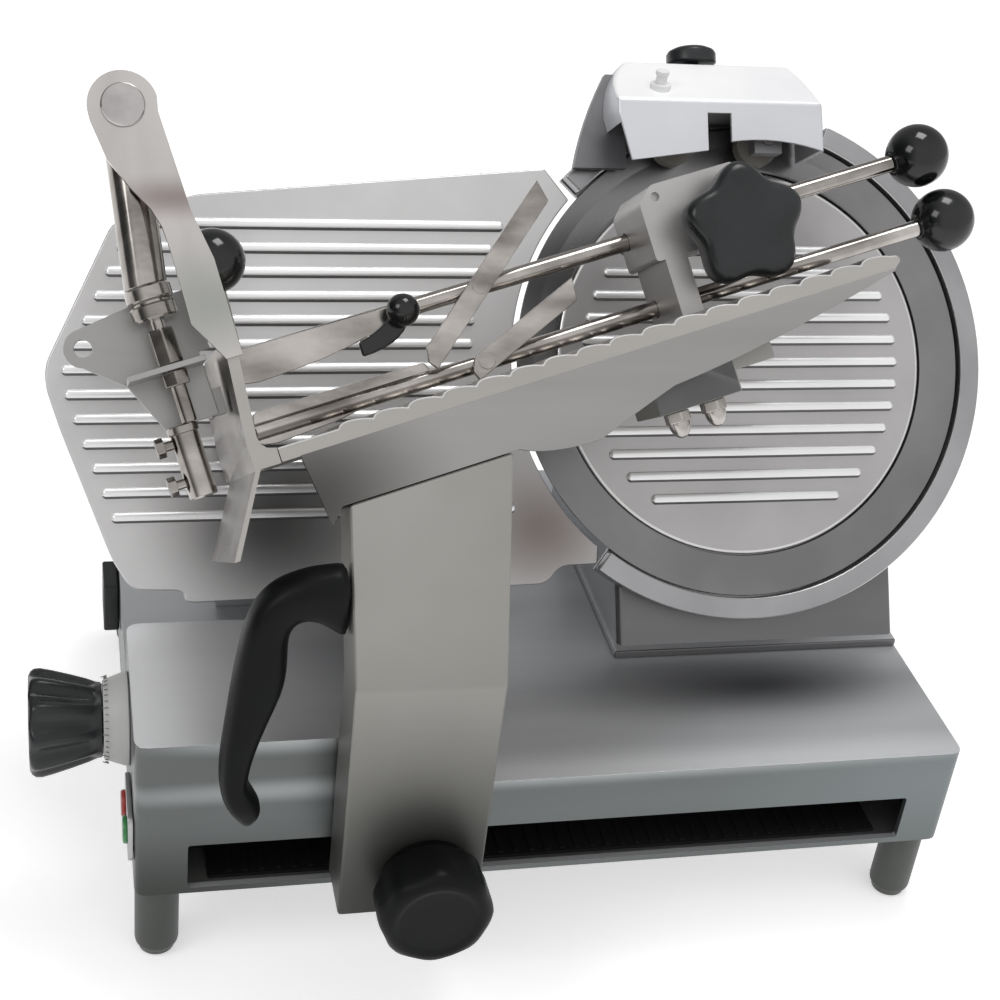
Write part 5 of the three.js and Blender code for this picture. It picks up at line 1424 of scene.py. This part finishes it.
@dataclass
class PostGroup:
    """The flange, guide post, collars, ear bracket and stop cylinder at the tray's left end."""

    eye: Flat = (-12.9, 185.3)
    post_d: float = 162.6
    post_foot: Flat = (-29.5, 92.6)
    post_low: float = 97.6
    post_radius: float = 11.0
    eye_radius: float = 13.0
    pin_radius: float = 5.8
    flange_back: float = 177.3
    flange_front: float = 180.3
    stop_s: float = -33.0
    stud: float = -28.5
    stud_d: float = 164.6
    ear_centre: Flat = (-67.2, 78.2)
    shelf_box: tuple[Spot, Spot] = ((-52.0, 53.0, 147.7), (-11.4, 56.0, 174.0))
    back_box: tuple[Spot, Spot] = ((-14.4, 26.0, 112.0), (-11.4, 60.3, 147.7))
    link_box: tuple[Spot, Spot] = ((-11.6, 26.0, 130.0), (-6.2, 40.0, 144.6))
    seat: Seat = field(default_factory=lambda: Seat(Frame.TRAY, "carriage"))

    def flange(self) -> None:
        """Builds the flange with the hole for the guide post's pin."""
        outline = [(5.9, 50), (7.0, 100.2), (3.3, 126), (2.9, 177.7), (4.7, 186)]
        outline += arc(17.6, 0, 180, 24, self.eye)
        outline += [(-30.7, 182.2), (-28.5, 161), (-22, 145), (-15.5, 132), (-12.9, 122), (-12.6, 109.3),
                    (-14.1, 71.3), (-8, 60.2), (-2.6, 50)]
        flange = Bench.slab("post_plate", outline, self.flange_back, self.flange_front)
        hole = Bench.rod("hole", (*self.eye, 170), (*self.eye, 190), self.pin_radius + 0.6)
        Bench.bevel(Bench.cut(flange, hole), 0.7, 3, 40)
        # Painted highlight on the flange's edge.
        paint(flange, STRAP, EDGE_HIGHLIGHT, lambda centre, normal: normal.x > 0.4)
        self.seat.dress(flange, STRAP, "post_flange")

    def post(self) -> None:
        """Builds the guide post with its eye, pin and cap."""
        d, (x, y) = self.post_d, self.eye
        bar = Bench.rod("guide_tube", (*self.post_foot, d), (x, y, d), self.post_radius)
        below = Bench.block("below", (-152, 0, 0), (152, self.post_low, 325))
        before = Bench.block("before", (-152, 0, d + self.post_radius - 0.2), (152, 304, 325))
        Bench.cut(bar, below, before)
        Bench.bevel(bar, 0.8, 2, 45)
        eye = Bench.rod("eye", (x, y, d - 10), (x, y, d + 10), self.eye_radius, edge=1.0)
        face = self.flange_front
        pin = Bench.rod("pin", (x, y, d), (x, y, face + 0.7), self.pin_radius)
        profile = [(0, GAP), (11, GAP), (11, 1.7), (10.4, 2.5), (9, 2.7), (0, 2.7)]
        cap = Bench.turned("cap", profile, Matrix.Translation((x, y, face)), 64)
        POLISHED.onto(bar, eye, pin)
        CAP.onto(cap)
        self.seat.dress(Bench.join("guide_tube", [bar, eye, pin, cap]), POLISHED, "guide_post")

    def collars(self) -> None:
        """Builds the two collars, the stud and its nuts."""
        x, d = self.stud, self.stud_d
        turn = laid((x, 0, d), -90, "X")
        profile = [(0, 80.1), (11, 80.1), (12, 81.1), (12, 87.0), (11, 88.0), (9, 88.2), (9, 89.4),
                   (11, 89.7), (12, 90.7), (12, 96.3), (11, 97.3), (0, 97.3)]
        rings = Bench.turned("collar_stack", profile, turn, 64)
        stud = Bench.rod("stud", (x, 25.9, d), (x, 82, d), 4, edge=0.5)
        nut = Bench.rod("nut", (x, 56.3, d), (x, 75, d), 7.4, 6, 0.8)
        low = Bench.rod("low_nut", (x, 45, d), (x, 52.7, d), 7.4, 6, 0.8)
        self.seat.dress(Bench.join("collar_stack", [rings, stud, nut, low]), POLISHED, "post_collars")

    def ear(self) -> None:
        """Builds the bracket with its round ear, its shelf and its flange on the wall."""
        outline = [(-5.4, 93), (-33.5, 93), (-67.2, 88.2)]
        outline += arc(10, 90, 252, 14, self.ear_centre)[1:]
        outline += [(-52, 53), (-40, 26), (-11.4, 26), (-11.4, 60.3), (-5.4, 60.3)]
        face = Bench.slab("ear_plate", outline, 144.4, 148)
        hole = Bench.rod("hole", (*self.ear_centre, 140), (*self.ear_centre, 152), 4.6)
        Bench.bevel(Bench.cut(face, hole), 0.5, 2, 45)
        shelf = Bench.block("shelf", *self.shelf_box)
        slot = Bench.rod("slot", (self.stud, 50, self.stud_d), (self.stud, 60, self.stud_d), 4.6)
        Bench.bevel(Bench.cut(shelf, slot), 0.5, 2, 45)
        back = Bench.bevel(Bench.block("back", *self.back_box), 0.5, 2)
        link = Bench.block("link", *self.link_box)
        self.seat.dress(Bench.join("ear_plate", [face, shelf, back, link]), APRON, "ear_bracket")

    def stop(self) -> None:
        """Builds the stop cylinder with its ring and its two side bolts."""
        x, d = self.stop_s, self.post_d
        turn = laid((x, 0, d), -90, "X")
        profile = [(0, -12.6), (6.6, -12.6), (7.4, -11.8), (7.4, 21.2), (8.2, 21.6), (8.2, 25.0), (7.6, 25.6),
                   (4.6, 25.6), (4.6, 25.0), (0, 25.0)]
        parts = [Bench.turned("stop_barrel", profile, turn, 64)]
        for t in (17.3, -3.1):
            parts.append(Bench.rod("shank", (x, t, d), (x - 12.4, t, d), 2.5, 24))
            parts.append(Bench.rod("head", (x - 11.4, t, d), (x - 15.9, t, d), 5.4, 6, 0.7))
        self.seat.dress(Bench.join("stop_barrel", parts), POLISHED, "stop_cylinder")

    def build(self) -> None:
        """Builds the group."""
        self.flange()
        self.post()
        self.collars()
        self.ear()
        self.stop()


@dataclass
class Clamp:
    """The product clamp: block, base with nuts, two rods with shoes and fingers, levers and knobs."""

    d: float = 100.0
    left: float = 9.0
    right: float = 420.0
    high: float = 54.0
    low: float = 12.5
    back: float = 89.0
    front: float = 140.0
    base_box: tuple[Spot, Spot] = ((214.0, -46.0, 118.0), (264.0, -8.3, 160.0))
    wing_box: tuple[Spot, Spot] = ((263.0, -34.0, 118.0), (288.0, -8.3, 160.0))
    nuts: Flat = (228.0, 250.0)
    rod_radius: float = 5.0
    finger_d: float = 105.4
    cam_place: Flat = (82.0, 40.0)
    star_place: Flat = (293.5, 40.5)
    carried: Seat = field(default_factory=lambda: Seat(Frame.TRAY, "carriage"))

    def block(self) -> None:
        """Builds the block that the rods pass through, with its leg."""
        outline = rounded([(246, 36), (306, 36), (306, 78), (255, 78), (246, 69)], 2.5)
        upper = Bench.slab("rod_block", outline, self.back, self.front)
        leg = Bench.block("leg", (251, 2.9, self.back), (264, 37, self.front))
        Bench.fuse(upper, leg)
        Bench.bevel(upper, 1.2, 3, 35)
        bore = self.rod_radius + 0.45
        holes = [Bench.rod("hole", (235, t, self.d), (311, t, self.d), bore) for t in (self.high, self.low)]
        screw = Bench.rod("screw", (256, 71, 137), (256, 71, 146), 2.6)
        Bench.cut(upper, *holes, screw)
        self.carried.dress(upper, BLOCK, "clamp_block")

    def base(self) -> None:
        """Builds the base under the tray and its two domed nuts."""
        main = Bench.block("under_block", *self.base_box)
        wing = Bench.block("wing", *self.wing_box)
        Bench.bevel(Bench.fuse(main, wing), 1.0, 2, 40)
        # The front faces of the base's left part get painted shade.
        paint(main, ARM, CLAMP_BASE_SHADE, lambda centre, normal: centre.x < 250 and normal.z > 0.5)
        self.carried.dress(main, ARM, "clamp_base")
        t, d = -52.3, 146.0
        for i, s in enumerate(self.nuts, start=1):
            dome = Bench.ball("dome", (s, t, d), 6.1, (1.0, 1.47, 1.0))
            Bench.cut(dome, Bench.block("upper_half", (s - 9, t, 130), (s + 9, -30, 162)))
            nut = Bench.rod("nut", (s, t - 0.1, d), (s, -46.3, d), 7.5, 6, 0.8)
            self.carried.dress(Bench.join(f"domed_nut_{i}", [dome, nut]), POLISHED, f"dome_nut_{i}")

    def rod(self, side: str, t: float, drop: float, back: float, extra: float) -> None:
        """Builds one rod with its shoe blade and its round knob.

        Args:
            side: Which rod it is, high or low.
            t: Its height over the floor.
            drop: How far its shoe reaches under it.
            back: Where its shoe's back is.
            extra: How much longer than the high rod it is.
        """
        seat = Seat(Frame.TRAY, f"rod_{side}")
        right = self.right + extra
        name = f"clamp_bar_{side}"
        bar = Bench.rod(name, (self.left, t, self.d), (right, t, self.d), self.rod_radius, edge=0.6)
        POLISHED.onto(bar)
        start, length, height = 8, 104, 20
        shares = [(0, 0.1), (0.02, 1), (0.5, 0.98), (1, 0.95), (1, 0.5), (0.7, 0.3), (0.45, 0.1), (0.1, 0)]
        outline = rounded([(start + a * length, t - drop + b * height) for a, b in shares], 4)
        shoe = Bench.bevel(Bench.slab("shoe", outline, back, back + 3), 0.6, 2, 40)
        # Painted highlight on the shoe's upper edge.
        paint(shoe, POLISHED, EDGE_HIGHLIGHT, lambda centre, normal: normal.y > 0.4 and centre.y > t - drop + 15)
        seat.dress(Bench.join(name, [bar, shoe]), POLISHED, f"clamp_rod_{side}")
        radius, centre = 18.8, 17.8
        turns = [math.radians(24 + 7.8 * i) for i in range(20)]
        profile = [(0, 0), (5.4, 0), (6.2, 0.5), (6.4, 1.2)]
        profile += [(radius * math.sin(a), centre - radius * math.cos(a)) for a in turns] + [(0, 36.6)]
        knob = Bench.turned(f"round_knob_{side}", profile, laid((right + GAP, t, self.d), 90, "Y"), 64)
        seat.dress(knob, GLOSS, f"ball_knob_{side}", angle=45)

    def finger(self, side: str, start: Flat, end: Flat, t: float) -> None:
        """Builds one slanted finger with its hub on the rod.

        Args:
            side: Which rod it is on, high or low.
            start: Its foot.
            end: Its tip.
            t: The rod's height.
        """
        name, length = f"slanted_finger_{side}", math.dist(start, end)
        turn = math.atan2(end[1] - start[1], end[0] - start[0])
        outline = [(0, -6), (length - 6, -6), (length, 6), (6, 6), (0, 0)]
        d = self.finger_d
        strip = Bench.slab(name, outline, d, d + 4)
        strip.data.transform(Matrix.Translation((*start, 0)) @ Matrix.Rotation(turn, 4, "Z"))
        Bench.bevel(strip, 0.6, 2, 30)
        s = start[0] + (t - start[1]) / math.tan(turn)
        hub = Bench.rod("hub", (s, t, d), (s, t, d + 4.4), self.rod_radius, edge=0.6)
        Seat(Frame.TRAY, f"rod_{side}").dress(Bench.join(name, [strip, hub]), POLISHED, f"finger_{side}")

    def pusher(self) -> None:
        """Builds the pusher knob on its stem."""
        stem = Bench.rod("pusher_ball", (13, self.high + 5.3, self.d), (15.2, 102, self.d), 2.9, 32, 0.4)
        POLISHED.onto(stem)
        top = Bench.ball("top", (15.5, 109, self.d), 18.0)
        GLOSS.onto(top)
        made = Bench.join("pusher_ball", [stem, top])
        Seat(Frame.TRAY, "rod_high").dress(made, GLOSS, "pusher_knob", angle=45)

    def cam(self) -> None:
        """Builds the curved cam lever with its ball."""
        outline = [(-5.5, -5.5)] + curve((-5.5, -5.5), (22.5, -5.5), (28, 12.5)) + [(17, 12.5)]
        outline += curve((17, 12.5), (9, 5.5), (-5.5, 2.75))
        blank = Bench.bevel(Bench.slab("cam_handle", outline, 110, 114), 1.4, 3, 40)
        hub = Bench.rod("hub", (0, 0, 108), (0, 0, 112), 5, edge=0.6)
        POLISHED.onto(hub)
        tip = Bench.ball("tip", (22.5, 12.5, 119), 9.2)
        GLOSS.onto(blank, tip)
        made = Bench.join("cam_handle", [blank, hub, tip])
        made.data.transform(Matrix.Translation((*self.cam_place, 0)))
        Seat(Frame.TRAY, "cam").dress(made, GLOSS, "cam_lever", angle=45)

    def star(self) -> None:
        """Lofts the five-lobed knob and adds its hub and stud."""
        steps = [(149.0, 28.0), (150.2, 32.0), (152.5, 34.4), (156.0, 35.0), (162.0, 35.0), (165.6, 34.2),
                 (168.0, 31.4), (169.0, 27.5), (168.7, 20.0), (167.6, 12.0)]
        knob = Bench.loft("lobed_knob", [lobed(r, 0.2, 5, z, 120) for z, r in steps])
        hub = Bench.rod("hub", (0, 0, 144.5), (0, 0, 150), 11, edge=1.0)
        stud = Bench.rod("stud", (0, 0, 140.3), (0, 0, 150), 5)
        made = Bench.join("lobed_knob", [knob, hub, stud])
        made.data.transform(laid((*self.star_place, 0), 10, "Z"))
        Seat(Frame.TRAY, "star").dress(made, BLACK, "star_knob", angle=50)

    def build(self) -> None:
        """Builds the clamp."""
        self.block()
        self.base()
        self.rod("high", self.high, 16.0, self.d + 4.7, 0.0)
        self.rod("low", self.low, 9.0, self.d - 1.5, 4.0)
        self.finger("high", (112, 21), (207, 97), self.high)
        self.finger("low", (134.5, 8.8), (208, 38), self.low)
        self.pusher()
        self.cam()
        self.star()


@dataclass
class Sharpener:
    """The sharpener's cover with its pin, over the blade's top, and the lifting knob."""

    left: float = -93.0
    right: float = 41.0
    wall: float = 2.2
    blade_reach: float = 134.0
    pin_foot: Spot = (-62.0, 167.3, 34.0)
    seat: Seat = field(default_factory=lambda: Seat(Frame.BLADE, "sharpener"))

    def face(self, inset: float) -> Thing:
        """Makes the slab that the cover's outline is cut with, as seen from the front.

        Args:
            inset: How far inside the cover's outline it runs.

        Returns:
            The slab.
        """
        left, right = self.left + inset, self.right - inset
        outline = [(left, 108), (right, 108), (right, 147.7)]
        outline += curve((right, 147.7), (right, 180), (31 - inset, 195))
        outline += [(-69 + inset, 195)] + curve((-69 + inset, 195), (left, 180), (left, 157.7))
        return Bench.slab("face", outline, -5, 90)

    def cover(self) -> None:
        """Cuts the cover from a wedge, hollows and notches it, and adds its pin."""
        outer = [(118.7, 45), (157.7, 45), (190, 8), (190, 3), (118.7, 3)]
        inner = [(110, 42.8), (155.5, 42.8), (187.8, 5.8), (187.8, -5), (110, -5)]
        length, wall, reach = self.right - self.left, self.wall, self.blade_reach
        shell = Bench.prism("sharpener_hood", [(self.left, v, d) for v, d in outer], (length, 0, 0))
        Bench.combine("INTERSECT", shell, [self.face(0.0)])
        Bench.bevel(shell, 3.0, 4, 30)
        hollow = Bench.prism("hollow", [(self.left + wall, v, d) for v, d in inner],
                             (length - 2 * wall, 0, 0))
        Bench.combine("INTERSECT", hollow, [self.face(wall)])
        notch = Bench.block("notch", (-35.6, 0, 0), (-20, 150, 90))
        bow = arc(reach, 64, 95.5, 9) + [(-21, math.sqrt(reach ** 2 - 21 ** 2))]
        trim = Bench.slab("trim", [(-21, 90), (60, 90), (60, 119.8), *bow], 0, 90)
        slope = Bench.slab("slope", [(-93, 113.7), (-21, 113.7), (-21, 128.7), (-93, 118.7)], 0, 90)
        slant = Bench.slab("slant", [(-98, 113.7), (-83.2, 113.7), (-94, 155.7), (-98, 157.7)], 0, 90)
        cheek = Bench.block("cheek", (-113, 116, 6.7), (-78, 180.3, 13.3))
        Bench.cut(shell, hollow, notch, trim, slope, slant, cheek)
        # The cover's upper faces get painted light.
        paint(shell, WHITE, COVER_TOP_LIGHT, lambda centre, normal: normal.y > 0.45 and normal.z > 0.1)
        foot, rise = Vector(self.pin_foot), Vector((0, math.cos(TILT), math.sin(TILT)))
        parts = [shell]
        for name, low, high, radius in (("collar", -1, 3, 6.5), ("pin", 2, 9, 3.4), ("tip", 8, 11, 4.2)):
            ends = [tuple(foot + rise * height) for height in (low, high)]
            parts.append(Bench.rod(name, *ends, radius, 32, 0.6))
        self.seat.dress(Bench.join("sharpener_hood", parts), WHITE, "sharpener_cover")

    def knob(self) -> None:
        """Turns the lifting knob."""
        profile = [(0, 0), (5, 0), (5, 6), (14.2, 6.2), (16, 7.4), (16, 13), (14.8, 15), (11.4, 16.7),
                   (0, 17)]
        knob = Bench.turned("lift_cap", profile, laid((-27, 186.3, -6), -90, "X"), 64)
        Seat(Frame.BLADE, "lift_knob").dress(knob, BLACK, "sharpener_knob", angle=40)

    def build(self) -> None:
        """Builds the cover and the knob."""
        self.cover()
        self.knob()


@dataclass
class Carried:
    """The CAD nodes whose own shape is right: each gets its finish."""

    finishes: dict[str, Finish] = field(default_factory=lambda: {
        "bottom_cover": SHEET, "guide_rod": POLISHED, "blade_backplate": RING, "disc_tie_bolt": BLACK,
        "motor": PAINT, "drive_belt": RUBBER, "gauge_support": SATIN, "sharpener_post": SATIN,
        "gauge_carrier": POLISHED, "blade_pulley": SHEET, "motor_pulley": SHEET, "slide_block": ARM,
        "slide_bush_left": BRONZE, "slide_bush_right": BRONZE, "sharpener_body": HEAD,
        "grinding_stone": STONE, "honing_stone": STONE,
    })

    def dress(self, nodes: dict[str, Thing]) -> None:
        """Puts the finishes on the nodes.

        Args:
            nodes: The CAD nodes by name.
        """
        for name, finish in self.finishes.items():
            nodes[name].data.materials.clear()
            finish.onto(nodes[name])
            LOG.info("%s keeps its CAD shape", name)


@dataclass
class Studio:
    """The camera, the floor and the lights."""

    eye: Spot = (-280.7, -767.3, 810.9)
    yaw: float = 0.276
    pitch: float = 0.550
    roll: float = 0.123
    focal: float = 65.32
    floor_glow: float = 0.42
    lamps: tuple[tuple[str, Spot, float, float], ...] = (("key", (-1.7, -0.8, 1.8), 0.9, 10.0),
                                                         ("top", (0.3, 0.3, 2.3), 0.8, 14.0))

    def camera(self) -> None:
        """Sets the camera where the photograph was taken from."""
        ahead = Vector((math.sin(self.yaw) * math.cos(self.pitch), math.cos(self.yaw) * math.cos(self.pitch),
                        -math.sin(self.pitch)))
        level = Vector((math.cos(self.yaw), -math.sin(self.yaw), 0.0))
        over = level.cross(ahead)
        right = level * math.cos(self.roll) + over * math.sin(self.roll)
        up = over * math.cos(self.roll) - level * math.sin(self.roll)
        data = bpy.data.cameras.new("camera")
        data.sensor_width = 36.0
        data.lens = self.focal
        data.clip_start = 0.01
        made = bpy.data.objects.new("camera", data)
        bpy.context.scene.collection.objects.link(made)
        turn = Matrix((right, up, -ahead)).transposed().to_4x4()
        made.matrix_world = Matrix.Translation((Vector(self.eye) + SHIFT) * MM) @ turn
        bpy.context.scene.camera = made

    def floor(self) -> None:
        """Adds the pale floor."""
        Bench.clear()
        bpy.ops.mesh.primitive_plane_add(size=14.0, location=(0, 2.0, -0.0002))
        floor = bpy.context.object
        floor.name = "studio_floor"
        cover = bpy.data.materials.new("pale_floor")
        cover.use_nodes = True
        graph = Graph(cover.node_tree)
        glow = graph.add("Math", {0: self.seen(graph), 1: self.floor_glow}, operation="MULTIPLY")
        graph.feed(cover.node_tree.nodes["Principled BSDF"], {
            "Base Color": (0.9, 0.9, 0.9, 1), "Roughness": 0.9, "Specular IOR Level": 0.0,
            "Emission Color": (1, 1, 1, 1), "Emission Strength": glow["Value"]})
        floor.data.materials.append(cover)

    @staticmethod
    def seen(graph: Graph) -> Socket:
        """Adds the light path test for what the camera, metal and glass see.

        Args:
            graph: The material's nodes.

        Returns:
            A socket that is 1 for those rays and 0 for the rest.
        """
        path = graph.add("LightPath", {})
        value = path["Is Camera Ray"]
        for name in ("Is Glossy Ray", "Is Transmission Ray"):
            value = graph.add("Math", {0: value, 1: path[name]}, operation="MAXIMUM")["Value"]
        return value

    def lamp(self, name: str, place: Spot, size: float, power: float) -> None:
        """Adds one soft area lamp that faces the machine.

        Args:
            name: The lamp's name.
            place: Where it hangs, in metres.
            size: The side of its square, in metres.
            power: Its power in watts.
        """
        data = bpy.data.lights.new(name, "AREA")
        data.size = size
        data.energy = power
        made = bpy.data.objects.new(name, data)
        bpy.context.scene.collection.objects.link(made)
        way = Vector((0, 0, 0.2)) - Vector(place)
        made.matrix_world = Matrix.Translation(place) @ way.to_track_quat("-Z", "Y").to_matrix().to_4x4()

    @staticmethod
    def fade(graph: Graph, value: Socket, ends: Flat, levels: Flat) -> Socket:
        """Adds a smooth step from one level to another.

        Args:
            graph: The world's nodes.
            value: What the step follows.
            ends: Where it starts and ends.
            levels: The level before and after it.

        Returns:
            The step's socket.
        """
        given = {"Value": value, "From Min": ends[0], "From Max": ends[1], "To Min": levels[0],
                 "To Max": levels[1]}
        return graph.add("MapRange", given, interpolation_type="SMOOTHSTEP")["Result"]

    def world(self) -> None:
        """Lights the scene from all round, brighter from the front and the right."""
        world = bpy.data.worlds.new("studio")
        bpy.context.scene.world = world
        world.use_nodes = True
        graph = Graph(world.node_tree)
        way = graph.add("SeparateXYZ", {"Vector": graph.add("TexCoord", {})["Generated"]})
        level = self.fade(graph, way["Y"], (-0.75, 0.7), (0.92, 0.4))
        side = self.fade(graph, way["X"], (-0.95, -0.35), (0.1, 1.0))
        both = graph.add("Math", {0: level, 1: side}, operation="MULTIPLY")
        graph.feed(world.node_tree.nodes["Background"], {"Color": (1, 1, 1, 1), "Strength": both["Value"]})

    def build(self) -> None:
        """Sets up the whole studio."""
        bpy.context.scene.view_settings.view_transform = "Standard"
        self.camera()
        self.floor()
        self.world()
        for name, place, size, power in self.lamps:
            self.lamp(name, place, size, power)


def main() -> None:
    """Builds the studio and every sub-assembly."""
    logging.basicConfig(level=logging.INFO, format="%(name)s: %(message)s")
    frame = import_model()
    Studio().build()
    parts = (Housing(), Pedestal(), Blade(), Gauge(), SideKnob(), Carriage(), Tray(), PostGroup(), Clamp(),
             Sharpener())
    for part in parts:
        part.build()
        LOG.info("%s is built", type(part).__name__)
    Carried().dress(frame["nodes"])
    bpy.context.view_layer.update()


if __name__ == "__main__":
    main()
